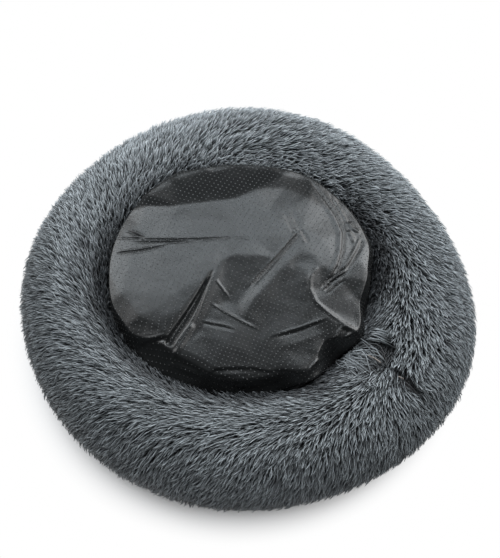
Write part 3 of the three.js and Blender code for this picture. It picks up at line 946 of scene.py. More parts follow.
def curls(draw):
    """Two tufts of long, tangled locks beside the end seam, combed towards the panel."""
    return [
        tuft((-43, 84), (-40.5, 138), (-2.5 * MM, 3 * MM), 60, 0.05, 6 * MM, 11.5, draw),
        tuft((-27, 98), (-27.5, 128), (-1 * MM, 3 * MM), 20, 0.02, 2 * MM, 10, draw),
    ]


# Loops: place in degrees round the ring and the tube, size and height over the ring in millimetres
LOOPS = ((-46.4, 90, 3.4, 2.5), (-45.6, 87, 2.4, 3), (-47.2, 92, 2.8, 2.5))
LOOP_ROUNDS = 1.3
# How far out they lie, in radii of the well, and their length across the strip for their width
LOOP_AWAY = 1.4
LOOP_LENGTH = 1.4


def loose_loops():
    """Three pulled threads of the pile that lie in loops beside the end seam."""
    rounds = CURL_STEPS * LOOP_ROUNDS * TURN
    paths = []
    for place, tube, size, lift in LOOPS:
        angle = math.radians(place) + size * MM * np.cos(rounds) / (WELL_RADIUS * LOOP_AWAY)
        turn = math.radians(tube) + size * MM * np.sin(rounds) / (RING_WIDTH / 2) * LOOP_LENGTH
        paths.append(tube_point(angle, -lift * MM, turn))
    count = len(paths)
    outward = np.tile(np.array([0.0, 0.0, 1.0]), (count, 1))
    return (np.full(count, math.radians(LOOPS[0][0])), np.stack(paths), outward, CURL_WIDTHS,
            np.ones(count), np.full(count, TONES - 1.0))


# The two raw edges under the pile, in degrees beside the parting, and three frayed threads on it:
# their ends beside the parting and round the tube, in degrees, and their inset in millimetres
RAW_EDGES = (-0.45, 0.45)
RAW_EDGE_INSET = 10.5 * MM
FRAYED = (
    ((0.4, 0.1), (115, 103), 0),
    ((0.2, -0.3), (107, 98), -1),
    ((0.1, 0.5), (79, 73), 6.5),
)


def seam_line(asides, turns, inset, steps):
    """A line over the ring from one place beside the parting to another."""
    ends = np.array([0, 1])
    angle = np.radians(np.interp(steps, ends, math.degrees(PARTING) + np.array(asides)))
    return tube_point(angle, inset, np.interp(steps, ends, turns))[None]


def end_seam(thread, tan_thread):
    """The seam allowance across the strip, and frayed threads that lie on the pile along it."""
    up = np.array([[0.0, 0.0, 1.0]])
    one = np.ones(1)
    ridge = []
    for aside in RAW_EDGES:
        path = seam_line((aside, aside), (BASE_SEAM, SLEEPING_SEAM), RAW_EDGE_INSET, RIDGE_STEPS)
        path[..., 2] = np.maximum(path[..., 2], FLOOR_CLEARANCE + RIDGE_ROOM)
        ridge.append(strands(path, up, RIDGE_WIDTHS, one, one))
    frayed = []
    for asides, turns, inset in FRAYED:
        path = seam_line(asides, np.radians(turns), inset * MM, THREAD_STEPS)
        frayed.append(strands(path, up, THREAD_WIDTHS, one, one))
    return (mesh_piece("end_seam_ridge", ridge, thread, "Threads"),
            mesh_piece("end_seam_threads", frayed, tan_thread, "Threads"))


# The backing's steps round the ring and the tube, how many of the latter are its outer face, and
# how far it turns out towards its sewn edges
BACKING_SEGMENTS = 288
BACKING_SIDES = 104
OUTER_SIDES = 72
EDGE_TURN_OUT = 8 * MM
EDGE_TURN_SHARE = 0.05


def ring_backing(material):
    """The strip's knitted backing: an outer and an inner face, open towards the well."""
    piece, ring, tube = tube_form(BACKING_SEGMENTS, BACKING_SIDES)
    outer = tube <= OUTER_SIDES
    share = np.where(outer, tube / OUTER_SIDES, 1 - (tube - OUTER_SIDES) / (BACKING_SIDES - OUTER_SIDES))
    inset = np.where(outer, BACKING_INSET, BACKING_INSET + BACKING_WALL)
    edge = smooth(1 - np.minimum(share, 1 - share) / EDGE_TURN_SHARE)
    turn = BASE_SEAM + (SLEEPING_SEAM - BASE_SEAM) * share
    shape_to(piece, tube_point(ring / BACKING_SEGMENTS * TURN, inset - EDGE_TURN_OUT * edge, turn))
    return finish_piece(piece, "ring_backing", material)


# Base panel

def line_reach(x, y, line):
    """Signed distance from a line, positive on its left, and how far along it, from 0 to 1."""
    points = np.asarray(line, float) * MM
    lengths = np.linalg.norm(np.diff(points, axis=0), axis=1)
    starts = np.concatenate([[0], np.cumsum(lengths)])
    best = np.full(x.shape, np.inf)
    side = np.ones(x.shape)
    place = np.zeros(x.shape)
    for (ax, ay), (bx, by), start, length in zip(points[:-1], points[1:], starts, lengths):
        dx, dy = bx - ax, by - ay
        share = np.clip(((x - ax) * dx + (y - ay) * dy) / length**2, 0, 1)
        distance = np.hypot(x - ax - share * dx, y - ay - share * dy)
        nearer = distance < best
        best = np.where(nearer, distance, best)
        side = np.where(nearer, np.sign(dx * (y - ay) - dy * (x - ax)), side)
        place = np.where(nearer, (start + share * length) / starts[-1], place)
    return best * side, place


# Folds of the panel in plan, and single places between them, each with its height over the
# plateau, all in millimetres. Facets run straight from fold to fold
FOLD_LINES = {
    "left edge of the wedge": ((-36, 36, 2), (-42, 8, 2), (-54, -16, 1.5), (-76, -57, 0.3),
                               (-97, -94, -1.9)),
    "right edge of the wedge": ((-32, 14, 3), (-36, -4, 2.2), (-46, -30, 1), (-58, -62, -1.2),
                                (-72, -89, -3.4), (-87, -116, -5.4), (-98, -134, -8)),
    "foot of that edge": ((-22, 12, 2), (-28, -6, 0.5), (-37, -33, -1), (-49, -63, -3.2), (-62, -88, -5.2)),
    "slanting valley": ((68, 56, 2.4), (41, 20, 1.2), (18, -8, -1), (2, -28, -2.4), (-12, -50, -3.8)),
    "soft band": ((76, 48, 2.6), (54, 10, 2.2), (31, -18, 0.5), (15, -38, -0.6), (1, -60, -2.4)),
    "below the thin ridge": ((-39, -55, -3), (-30, -60, -3.3), (-6, -74, -4.2), (21, -87, -6.6)),
    "far edge": ((-159, 91, -0.6), (-134, 102, 1), (-93, 101, 2.8), (-50, 106, 3.3), (-14, 113, 3),
                 (14, 129, 2), (48, 154, -3.4)),
    "bright right part, lower edge": ((72, 28, 2.6), (89, 22, 2.4), (114, 20, 1.6)),
    "front wedge, upper edge": ((25, -95, -6.8), (65, -83, -6), (104, -67, -4.4)),
    "ridge round the dip": ((97, 7, 2), (84, -10, 1.6), (82, -24, -0.4), (88, -43, -2.3), (101, -56, -4),
                            (126, -75, -6.6), (148, -90, -8.4)),
    "flap's edge": ((124, -80, -6), (113, -100, -8), (100, -117, -9.6), (86, -133, -10.6), (73, -150, -11.4)),
    "right fold": ((89, 144, -5), (103, 119, -3.6), (120, 88, -1.6), (129, 60, -0.6), (127, 31, 0.2),
                   (120, 8, 0.2)),
    "right rim": ((109, 128, -5), (131, 92, -3.4), (148, 71, -2.2), (157, 41, -0.4), (150, 12, 0.8)),
}
FACET_PLACES = (
    # left plateau, and the shade between it and the wedge
    (-116, 11, 1.3), (-151, 23, 1), (-127, -36, 1.7), (-163, -34, 0.9), (-73, 11, 1.6),
    (-68, -18, 1.7), (-86, -35, 1.4), (-100, -70, 0.6), (-119, -61, 1.2), (-149, -50, 0.8),
    (-136, -69, 0.6), (-120, -78, 0.3), (-106, -88, -0.6),
    # slope right of the wedge, and the slope beyond the soft band
    (-14, 23, 3), (14, 23, 2.6), (4, 6, 0.9), (-8, -4, 0), (-14, -25, -2), (-28, -44, -3.6),
    (66, 12, 1.2), (66, -5, 0), (66, -24, -1.6), (44, -22, -1.4), (38, -42, -3.2), (62, -46, -3.6),
    (26, -60, -4.4), (48, -66, -5),
    # upper right and upper band
    (29, 92, 2), (63, 101, 1.4), (86, 114, 0.2), (75, 64, 2.6), (100, 49, 2), (52, 132, -0.2),
    (-143, 71, 0.6), (-100, 77, 1.6), (-54, 77, 1.9), (-9, 77, 1.9), (4, 49, 2.2),
    # far slope
    (-97, 144, -6.5), (-43, 163, -8.6), (9, 167, -8),
    # front
    (-52, -91, -4.8), (-28, -112, -5.7), (9, -117, -8.2), (50, -114, -9.4), (74, -106, -9.4),
    (100, -94, -8.4), (81, -120, -10.6), (-40, -136, -7.2), (-5, -136, -9.6), (30, -138, -11),
    # dips and the facet at the right
    (98, -1, 0.8), (112, 0, 0.8), (96, -24, -2), (106, -40, -3), (140, -12, -0.8), (123, -12, -0.8),
    (154, -13, -1.4), (138, -31, -4.6), (127, -38, -4.2), (117, -60, -5.8), (148, -44, -5.6),
    (140, -68, -7.5),
)
# Heights at the plateau's edge every 15 degrees from +X, in millimetres
EDGE_HEIGHTS = (-0.5, -0.8, -3.2, -4.6, -5.4, -7.5, -9.5, -10, -8.5, -6, -2, -0.6,
                -0.6, -1.8, -6, -9, -10, -11, -12, -12, -11, -9, -6, -4)
EDGE_RADII = (170, 216)
# Half-width and step of the grid on which facets are drawn, in millimetres, and how far their
# corners are rounded off, in steps
RASTER_REACH = 230
RASTER_STEP = 1.0
ROUNDING = 2.4
# Corners that lie this near are one, and a place this little outside a facet still belongs to it
CORNER_TOLERANCE = 1e-5
EDGE_TOLERANCE = 1e-6

# Thin creases. across gives heights at distances from the line, positive on its left, in
# millimetres; the ends fade out over these shares of the line; and one that opens starts narrower
# by that share, and has its full width after OPENING of its line
OPENING = 0.7
CREASES = (
    # long groove from the left edge to the middle, with its branches
    {"line": ((-172, 51), (-132, 48), (-90, 47), (-54, 48), (-9, 50), (27, 44)),
     "across": ((-3.2, 0), (-1.2, 0.4), (0, -1.3), (1.2, 0.35), (3.2, 0)), "ends": (0.02, 0.4)},
    {"line": ((-152, 43), (-120, 43), (-88, 44), (-50, 47)),
     "across": ((-3.2, 0), (-1.2, 0.35), (0, -1.1), (1.2, 0.3), (3.2, 0)), "ends": (0.2, 0.3)},
    {"line": ((-158, 62), (-146, 56), (-133, 49)),
     "across": ((-5, 0), (-1.5, 0.8), (0, -2.2), (2, 0.6), (6, 0)), "ends": (0.3, 0.15)},
    {"line": ((-172, 26), (-140, 30), (-117, 35), (-94, 40)),
     "across": ((-4, 0), (-1.2, 0.3), (0, -1.4), (1.6, 0.5), (5, 0)), "ends": (0.15, 0.5)},
    # thin ridges that fan out below the middle
    {"line": ((-38, -14), (-28, -28), (-17, -43)),
     "across": ((-2.6, 0), (-1.6, 0.6), (1.6, 0), (4, 0)), "ends": (0.05, 0.35)},
    {"line": ((-45, -47), (-28, -58), (-4, -73), (23, -86)),
     "across": ((-3, 0), (-1.8, 0.8), (1.8, 0), (4, 0)), "ends": (0.1, 0.35)},
    {"line": ((-57, -74), (-28, -80), (-10, -86)),
     "across": ((-6, 0), (-1.4, -0.8), (0, 0.6), (2, 0.3), (6, 0)), "ends": (0.2, 0.4)},
    # trench of the wedge, steep on its left
    {"line": ((-43, 2), (-52, -15), (-64, -38), (-78, -63), (-97, -94), (-104, -107)),
     "across": ((-7, 0), (-1.6, -0.6), (0, -1.6), (1.8, -6.6), (5, -5.2), (12.4, 0.5), (14, 0.8),
                (18, 0)), "ends": (0.2, 0.05), "opens": 0.7},
    # slanting crease in the middle, with its fork
    {"line": ((70, 58), (68, 56), (41, 20), (18, -8), (2, -28)),
     "across": ((-6, 0), (-2, 0.4), (0, -1.7), (1.4, 0.8), (5, 0)), "ends": (0.1, 0.2)},
    {"line": ((52, 92), (57, 80), (66, 58)),
     "across": ((-6, 0), (-1.5, -0.6), (1.5, 0.6), (6, 0)), "ends": (0.4, 0.1)},
    {"line": ((70, 62), (76, 50), (82, 38)),
     "across": ((-6, 0), (-1.5, 0.6), (1.5, -0.6), (6, 0)), "ends": (0.2, 0.4)},
    # front wedge and the small ridges in the right hand dip
    {"line": ((27, -98), (70, -84), (106, -69)),
     "across": ((-16, 0), (-3.4, -1.5), (-0.4, -2), (1.5, 0.7), (5, 0)), "ends": (0.4, 0.25)},
    {"line": ((100, -28), (108, -16), (121, -6), (134, 4)),
     "across": ((-5, 0), (-2, -1.6), (0, 1.8), (2, -1.6), (5, 0)), "ends": (0.15, 0.3)},
    {"line": ((104, -33), (114, -22), (128, -10)),
     "across": ((-4, 0), (-1.6, -1.0), (0, 1.4), (2, -1), (5, 0)), "ends": (0.15, 0.3)},
    {"line": ((97, 7), (86, -4), (83, -13), (83, -27), (90, -45), (101, -56), (126, -76), (150, -91)),
     "across": ((-4, 0), (0, 0.8), (4, 0)), "ends": (0.1, 0.02)},
    # folds down the right side
    {"line": ((84, 150), (103, 119), (120, 88), (129, 60), (127, 31), (121, 8), (106, -20)),
     "across": ((-10, 0), (-2.4, 1.2), (-0.4, -2), (0.6, -2), (2.2, 0.4), (10, 0)), "ends": (0.2, 0.15)},
    {"line": ((112, 132), (121, 106), (132, 80), (134, 62)),
     "across": ((-4, 0), (-1.5, -1.0), (0, 1.2), (4, 0)), "ends": (0.2, 0.3)},
    {"line": ((152, 52), (146, 34), (136, 14), (126, -4)),
     "across": ((-5, 0), (-1.5, 1.4), (1.5, -1.6), (6, 0)), "ends": (0.2, 0.3)},
    {"line": ((134, 78), (142, 66), (152, 60)),
     "across": ((-4, 0), (0, 1.4), (4, 0)), "ends": (0.2, 0.2)},
    {"line": ((134, 64), (140, 54), (143, 40)),
     "across": ((-4, 0), (0, 1.2), (4, 0)), "ends": (0.2, 0.4)},
    # thin ridge that runs down the lower left wall
    {"line": ((-66, -76), (-72, -89), (-87, -116), (-100, -134), (-116, -151)),
     "across": ((-5, 0), (0, 1.6), (5, 0)), "ends": (0.1, 0.05)},
    # corner fold at the lower left
    {"line": ((-156, -106), (-138, -102), (-120, -99), (-95, -94)),
     "across": ((-8, 0), (-3, -2.0), (0, 1.6), (4, 0.6), (10, 0)), "ends": (0.1, 0.25)},
    # front lip, with the full fold of cloth below it
    {"line": ((-58, -164), (-50, -152), (-40, -141), (-13, -138), (9, -138), (32, -143), (50, -153),
              (68, -166)),
     "across": ((-22, 0), (-14, -1.4), (-4, -2.4), (-1.2, -2.6), (0.8, 0), (6, 0)),
     "ends": (0.08, 0.08)},
    # flap at the lower right, with its hem-like edge
    {"line": ((124, -78), (113, -99), (100, -116), (86, -132), (73, -150)),
     "across": ((-7, 0), (-3.5, -0.6), (-1.4, -0.4), (0, 1.3), (1.6, -1.4), (4, -3), (9, -3.6), (16, 0)),
     "ends": (0.05, 0.05)},
)


def facet_corners():
    """Corners of all facets, and the pairs of them that a fold joins."""
    corners, folds = [], []
    for line in FOLD_LINES.values():
        folds += [(len(corners) + step, len(corners) + step + 1) for step in range(len(line) - 1)]
        corners += line
    corners += FACET_PLACES
    for step, height in enumerate(EDGE_HEIGHTS):
        angle = TURN * step / len(EDGE_HEIGHTS)
        for radius in EDGE_RADII:
            x = WELL_OFFSET[0] / MM + radius * math.cos(angle)
            y = WELL_OFFSET[1] / MM + radius * math.sin(angle)
            corners.append((x, y, height))
    return corners, folds


def facet_raster():
    """Heights of the facets on a plain grid seen from above, with their corners rounded off."""
    corners, folds = facet_corners()
    flat = [Vector(corner[:2]) for corner in corners]
    triangles = delaunay_2d_cdt(flat, folds, [], 0, CORNER_TOLERANCE)[2]
    size = int(2 * RASTER_REACH / RASTER_STEP) + 1
    raster = np.zeros((size, size))
    for triangle in triangles:
        spots = np.array([corners[index] for index in triangle])
        low = np.floor((spots[:, :2].min(0) + RASTER_REACH) / RASTER_STEP).astype(int).clip(0)
        high = np.ceil((spots[:, :2].max(0) + RASTER_REACH) / RASTER_STEP).astype(int) + 1
        x, y = np.meshgrid(*[np.arange(a, min(b, size)) * RASTER_STEP - RASTER_REACH
                             for a, b in zip(low, high)], indexing="ij")
        (ax, ay, az), (bx, by, bz), (cx, cy, cz) = spots
        area = (bx - ax) * (cy - ay) - (cx - ax) * (by - ay)
        second = ((x - ax) * (cy - ay) - (cx - ax) * (y - ay)) / area
        third = ((bx - ax) * (y - ay) - (x - ax) * (by - ay)) / area
        first = 1 - second - third
        inside = np.minimum(np.minimum(first, second), third) >= -EDGE_TOLERANCE
        window = raster[low[0]:high[0], low[1]:high[1]]
        window[inside] = (az + (bz - az) * second + (cz - az) * third)[inside]
    return blurred(raster, ROUNDING)


def blurred(raster, spread):
    """A raster smoothed along both its directions, one after the other."""
    reach = int(3 * spread) + 1
    weights = np.exp(-0.5 * (np.arange(-reach, reach + 1) / spread) ** 2)
    weights /= weights.sum()
    for _ in range(2):
        padded = np.pad(raster, ((reach, reach), (0, 0)), mode="edge")
        count = raster.shape[0]
        raster = sum(weight * padded[k:k + count] for k, weight in enumerate(weights)).T
    return raster


def raster_height(raster, x, y):
    """The raster's height at places in metres, read between its points."""
    last = raster.shape[0] - 2
    u = np.clip((x / MM + RASTER_REACH) / RASTER_STEP, 0, last + 0.999)
    v = np.clip((y / MM + RASTER_REACH) / RASTER_STEP, 0, last + 0.999)
    i, j = u.astype(int), v.astype(int)
    s, t = u - i, v - j
    near = raster[i, j] * (1 - s) + raster[i + 1, j] * s
    far = raster[i, j + 1] * (1 - s) + raster[i + 1, j + 1] * s
    return (near * (1 - t) + far * t) * MM


def crease_height(x, y):
    """What facets and creases add to the panel, at places seen from above."""
    height = raster_height(facet_raster(), x, y)
    for crease in CREASES:
        reach, rise = np.array(crease["across"]).T
        line = np.array(crease["line"])
        low, high = (line.min(0) + reach[0]) * MM, (line.max(0) + reach[-1]) * MM
        near = (x > low[0]) & (x < high[0]) & (y > low[1]) & (y < high[1])
        distance, place = line_reach(x[near], y[near], crease["line"])
        start, end = crease["ends"]
        distance = distance / (1 - crease.get("opens", 0) * (1 - smooth(place / OPENING)))
        fade = smooth(place / start) * smooth((1 - place) / end)
        height[near] += np.interp(distance / MM, reach, rise) * fade * MM
    return height


# Top of the pad's bag, at distances from the well's edge, in millimetres
PAD_TOP = ((-155, 143), (-32, 143), (-1, 137), (7.7, 115), (10, 60))
PAD_CLEARANCE = 1.3 * MM
PAD_SKIN = 0.3 * MM
SHOULDER_CLEARANCE = 3 * MM
# How far inside the rim the cloth starts to hug the ring, and how far its wall bulges over that
HUG_INSIDE = 5 * MM
BULGE_RISE = 9 * MM
# How far inside the bevel the plateau ends and how far the bevel starts below it, in millimetres,
# where there is no bevel, and what a full bevel adds
PLATEAU_END = (3, 6)
BEVEL_START = (1, 0.5)
# Where the shoulder between plateau and rim lies, as a share of the bevel's width, how far over
# their middle height, and how much lower with a full bevel
SHOULDER_SHARE = 0.45
SHOULDER_RISE = 2 * MM
SHOULDER_DROP = 3 * MM
# How far the flat cloth follows each direction's own length
OWN_SHARE = 0.25


def pad_height(distance):
    """Height of the pad's bag at a distance outside the well's edge."""
    reach, height = np.array(PAD_TOP).T
    return np.interp(distance / MM, reach, height) * MM


def through(points, samples):
    """Smooth curves through rows of points, that never swing past them: (lines, points, 2) to
    (lines, samples, 2)."""
    steps = np.diff(points, axis=1)
    before, after = steps[:, :-1], steps[:, 1:]
    onward = before * after > 0
    middle = np.where(onward, 2 * before * after / np.where(onward, before + after, 1), 0)
    slopes = np.concatenate([steps[:, :1], middle, steps[:, -1:]], 1)
    spans = points.shape[1] - 1
    place = np.linspace(0, spans, samples)
    index = np.minimum(place.astype(int), spans - 1)
    t = (place - index)[None, :, None]
    rise = t * t * (3 - 2 * t)
    curve = points[:, index] * (1 - rise) + points[:, index + 1] * rise
    return curve + (t**3 - 2 * t**2 + t) * slopes[:, index] + (t**3 - t**2) * slopes[:, index + 1]


def rim_lines(angle):
    """Radius and height from the plateau's edge over the rim and down to the base seam."""
    hang = hug_distance(angle)
    bevel = BEVEL * around(BEVEL_SHARES, angle)
    well = well_edge(angle)
    edge = well + hang

    def hug(turn):
        point = tube_point(angle, -PANEL_GAP, turn) - SHIFT
        return np.hypot(point[:, 0], point[:, 1]), point[:, 2]

    hug_turn = slope_turn(angle, hang - HUG_INSIDE)
    low = hug(hug_turn)
    bulge = low[1] + BULGE_RISE
    steep = bevel / BEVEL
    drop = np.minimum(steep, 1)
    shoulder = edge - bevel * SHOULDER_SHARE
    shoulder_height = (PANEL_HEIGHT + bulge) / 2 + SHOULDER_RISE - SHOULDER_DROP * steep
    over_pad = pad_height(shoulder - well) + SHOULDER_CLEARANCE
    rows = [
        (edge - bevel - (PLATEAU_END[0] + PLATEAU_END[1] * drop) * MM, PANEL_HEIGHT - PANEL_CROWN),
        (edge - bevel, PANEL_HEIGHT - (BEVEL_START[0] + BEVEL_START[1] * drop) * MM),
        (shoulder, np.maximum(shoulder_height, over_pad)),
        (edge, bulge),
        low,
        hug((hug_turn + BASE_SEAM) / 2),
        hug(BASE_SEAM),
    ]
    return np.stack([np.stack(np.broadcast_arrays(*row), -1) for row in rows], 1)


def panel_grid(angle):
    """The panel's face as (angles, rings, 3), from the middle to the base seam."""
    rims = rim_lines(angle)
    walls = through(rims, WALL_RINGS + 1)[:, 1:]
    toward = np.stack([np.cos(angle), np.sin(angle)], -1)[:, None]
    share = np.linspace(0, 1, PLATEAU_RINGS)
    edge = rims[:, :1, :1] * toward - PANEL_CENTRE
    plateau = edge * share[:, None] + PANEL_CENTRE
    plateau_height = np.tile(PANEL_HEIGHT - PANEL_CROWN * share**2, (len(angle), 1))
    flat = np.concatenate([plateau, walls[..., :1] * toward], 1)
    height = np.concatenate([plateau_height, walls[..., 1]], 1)
    # the creases run out over the rim and die away down to the bulge of the wall
    bulge = rims[:, 3:4, 1]
    fade = np.clip((height - bulge) / (PANEL_HEIGHT - PANEL_CROWN - bulge), 0, 1)
    height = height + crease_height(flat[..., 0], flat[..., 1]) * fade
    off = flat - PANEL_CENTRE
    pad_top = pad_height(np.hypot(off[..., 0], off[..., 1]) - WELL_RADIUS)
    height = np.maximum(height, pad_top + PAD_CLEARANCE)
    return np.concatenate([flat, height[..., None]], 2)


def spread_flat(points):
    """Where each point lay on the flat cloth: its distance along the face, at its angle."""
    steps = np.linalg.norm(np.diff(points, axis=1), axis=2)
    along = np.concatenate([np.zeros((points.shape[0], 1)), np.cumsum(steps, 1)], 1)
    # mostly the mean of all directions, so that the dots stay in rows beside a crease
    return along * OWN_SHARE + along.mean(0, keepdims=True) * (1 - OWN_SHARE)


def inner_face(grid, back):
    """The cloth's inner face, from the base seam up the wall and in to the middle."""
    last = grid.shape[1] - 1
    wall = back < 0.5
    ring = np.where(wall, last - back * 2 * (WALL_RINGS - 1), PLATEAU_RINGS * (2 - back * 2))
    ring = np.round(ring).astype(int).clip(0, last)
    centre = np.array([*PANEL_CENTRE, 0])
    off = grid[:, ring] - centre
    reach = np.linalg.norm(off[..., :2], axis=-1, keepdims=True)
    off[..., :2] *= 1 - np.minimum(CLOTH_WALL / np.maximum(reach, CLOTH_THICKNESS), 1)
    on_pad = pad_height(reach[..., 0] - WELL_RADIUS) + PAD_SKIN
    under = np.minimum(off[..., 2] - CLOTH_THICKNESS, on_pad)
    off[..., 2] = np.where(wall, off[..., 2] - CLOTH_WALL_DROP, under)
    return off + centre


def base_cloth(material):
    """The panel's cloth, with its face as a grid and that grid's distances on the flat cloth."""
    rings = PLATEAU_RINGS - 1 + WALL_RINGS
    piece, segment, ring = round_form(PANEL_SEGMENTS, rings + UNDER_RINGS)
    angles = np.arange(PANEL_SEGMENTS) / PANEL_SEGMENTS * TURN
    grid = panel_grid(angles)
    inner = inner_face(grid, np.arange(1, UNDER_RINGS + 1) / UNDER_RINGS)
    shape_to(piece, np.concatenate([grid, inner], 1)[segment, ring] + SHIFT)
    flat = spread_flat(grid)
    reach = flat[segment, np.minimum(ring, rings)]
    angle = angles[segment]
    piece.data.uv_layers.active.name = "Flat"
    corner = np.empty(len(piece.data.loops), np.int32)
    piece.data.loops.foreach_get("vertex_index", corner)
    # places on the flat cloth, in metres
    places = np.stack([reach * np.cos(angle), reach * np.sin(angle)], -1)[corner]
    piece.data.uv_layers["Flat"].data.foreach_set("uv", places.astype(np.float32).ravel())
    close_form(piece)
    return finish_piece(piece, "base_cloth", material), grid, flat


def grip_dots(grid, flat, material):
    """Raised dots in a slanting grid, printed on the flat cloth and carried by its creases."""
    reach = flat[:, -DOT_FREE_RINGS].min()
    last = math.ceil(reach / DOT_PITCH) + 2
    steps = np.arange(-last, last + 1)
    across, along = [values.ravel() for values in np.meshgrid(steps, steps)]
    x = (across * math.cos(DOT_TURN) - along * math.sin(DOT_TURN)) * DOT_PITCH
    y = (across * math.sin(DOT_TURN) + along * math.cos(DOT_TURN)) * DOT_PITCH
    keep = np.hypot(x, y) < reach
    x, y = x[keep], y[keep]
    angle = np.arctan2(y, x) % TURN
    place = angle / TURN * PANEL_SEGMENTS
    column = place.astype(int) % PANEL_SEGMENTS
    after = (column + 1) % PANEL_SEGMENTS
    share = (place - np.floor(place))[:, None]
    rows = flat[column] * (1 - share) + flat[after] * share
    ring = np.array([np.interp(r, row, np.arange(len(row))) for r, row in zip(np.hypot(x, y), rows)])
    low = np.clip(ring.astype(int), 0, grid.shape[1] - 2)
    part = (ring - low)[:, None]

    def read(col, step):
        return grid[col, np.minimum(low + step, grid.shape[1] - 1)]

    near = read(column, 0) * (1 - share) + read(after, 0) * share
    far = read(column, 1) * (1 - share) + read(after, 1) * share
    centre = near * (1 - part) + far * part
    outward = far - near
    sideways = read((column + 2) % PANEL_SEGMENTS, 0) - read((column - 1) % PANEL_SEGMENTS, 0)
    normal = unit(np.cross(outward, sideways))
    first = unit(np.cross(normal, np.array([0.0, 1.0, 0.0])))
    second = np.cross(normal, first)
    # painted shade: dots darker where the cloth faces sideways or down
    pale = smooth((np.abs(normal[:, 2]) - DOT_PAINTED_SHADE_UNDER) / DOT_PAINTED_SHADE_FADE)
    tone = np.round(np.clip(pale + rng.normal(0, DOT_WEAR, len(x)), 0, 1) * (TONES - 1))
    return dot_meshes(centre + SHIFT, first, second, normal, tone, material)


def dot_meshes(centre, first, second, normal, tone, material):
    """Domes with a short foot in the cloth, all in one mesh."""
    deselect()
    bpy.ops.mesh.primitive_uv_sphere_add(segments=DOT_SEGMENTS, ring_count=DOT_RINGS, radius=1)
    dome = bpy.context.object
    shape = coordinates(dome)
    shape[:, 2] = np.where(shape[:, 2] < DOT_CUT, -DOT_FOOT, shape[:, 2])
    sizes = np.array([len(face.vertices) for face in dome.data.polygons])
    corners = np.array([index for face in dome.data.polygons for index in face.vertices])
    bpy.data.objects.remove(dome)
    count = len(centre)
    size = rng.uniform(*DOT_SIZES, count)[:, None, None]
    points = (centre[:, None, :]
              + first[:, None, :] * shape[None, :, :1] * DOT_RADIUS * size
              + second[:, None, :] * shape[None, :, 1:2] * DOT_RADIUS * size
              + normal[:, None, :] * shape[None, :, 2:] * DOT_RISE)
    loops = (np.arange(count)[:, None] * len(shape) + corners[None, :]).ravel()
    # each dot's map is its plan, in the column of its tone
    plan = shape[corners, :2] * DOT_PLAN + 0.5
    column = (tone[:, None] + plan[None, :, 0]) / TONES
    row = np.broadcast_to(plan[:, 1], column.shape)
    group = {"points": points.reshape(-1, 3), "loops": loops, "sizes": np.tile(sizes, count),
             "map": np.stack([column, row], -1).reshape(-1, 2)}
    return mesh_piece("grip_dots", [group], material, "OFBake")


# Sleeping side, towards the floor

PILE_FACE = 62 * MM
SLEEPING_CROWN = 6 * MM
SLEEPING_BACK = 73.4 * MM
SLEEPING_THICKNESS = 1.4 * MM
SLEEPING_ROOT = 1.6 * MM
SLEEPING_SEGMENTS = 192
SLEEPING_RINGS = 20
# The outer share of its radius over which the backing grows thin
SLEEPING_THIN = 0.125
# The lie of its pile, how far that wanders and spreads in radians, how far its tones spread, and
# the sizes of its locks
SLEEPING_LIE = math.radians(-70)
SLEEPING_WAVE = 0.5
SLEEPING_SPREAD = 0.22
SLEEPING_TONES = 6.5
SLEEPING_SIZES = (0.75, 1.25)
# Roots stay this far inside the well's edge, and tips may pass it by the other
SLEEPING_MARGIN = 2 * MM
SLEEPING_REACH = 1 * MM


def sleeping_backing(material):
    """The round of backing: a flat face towards the pad, and one towards the pile that ends thin."""
    piece, segment, ring = round_form(SLEEPING_SEGMENTS, 2 * SLEEPING_RINGS)
    angle = segment / SLEEPING_SEGMENTS * TURN
    share = np.minimum(ring, 2 * SLEEPING_RINGS - ring) / SLEEPING_RINGS
    edge = np.stack([np.cos(angle), np.sin(angle)], -1) * well_edge(angle)[:, None] - PANEL_CENTRE
    place = edge * share[:, None] + PANEL_CENTRE
    taper = smooth((1 - share) / SLEEPING_THIN)
    thickness = np.where(ring < SLEEPING_RINGS, 0, SLEEPING_THICKNESS * taper)
    shape_to(piece, np.column_stack([place, SLEEPING_BACK - thickness]) + SHIFT)
    close_form(piece)
    return finish_piece(piece, "sleeping_backing", material)


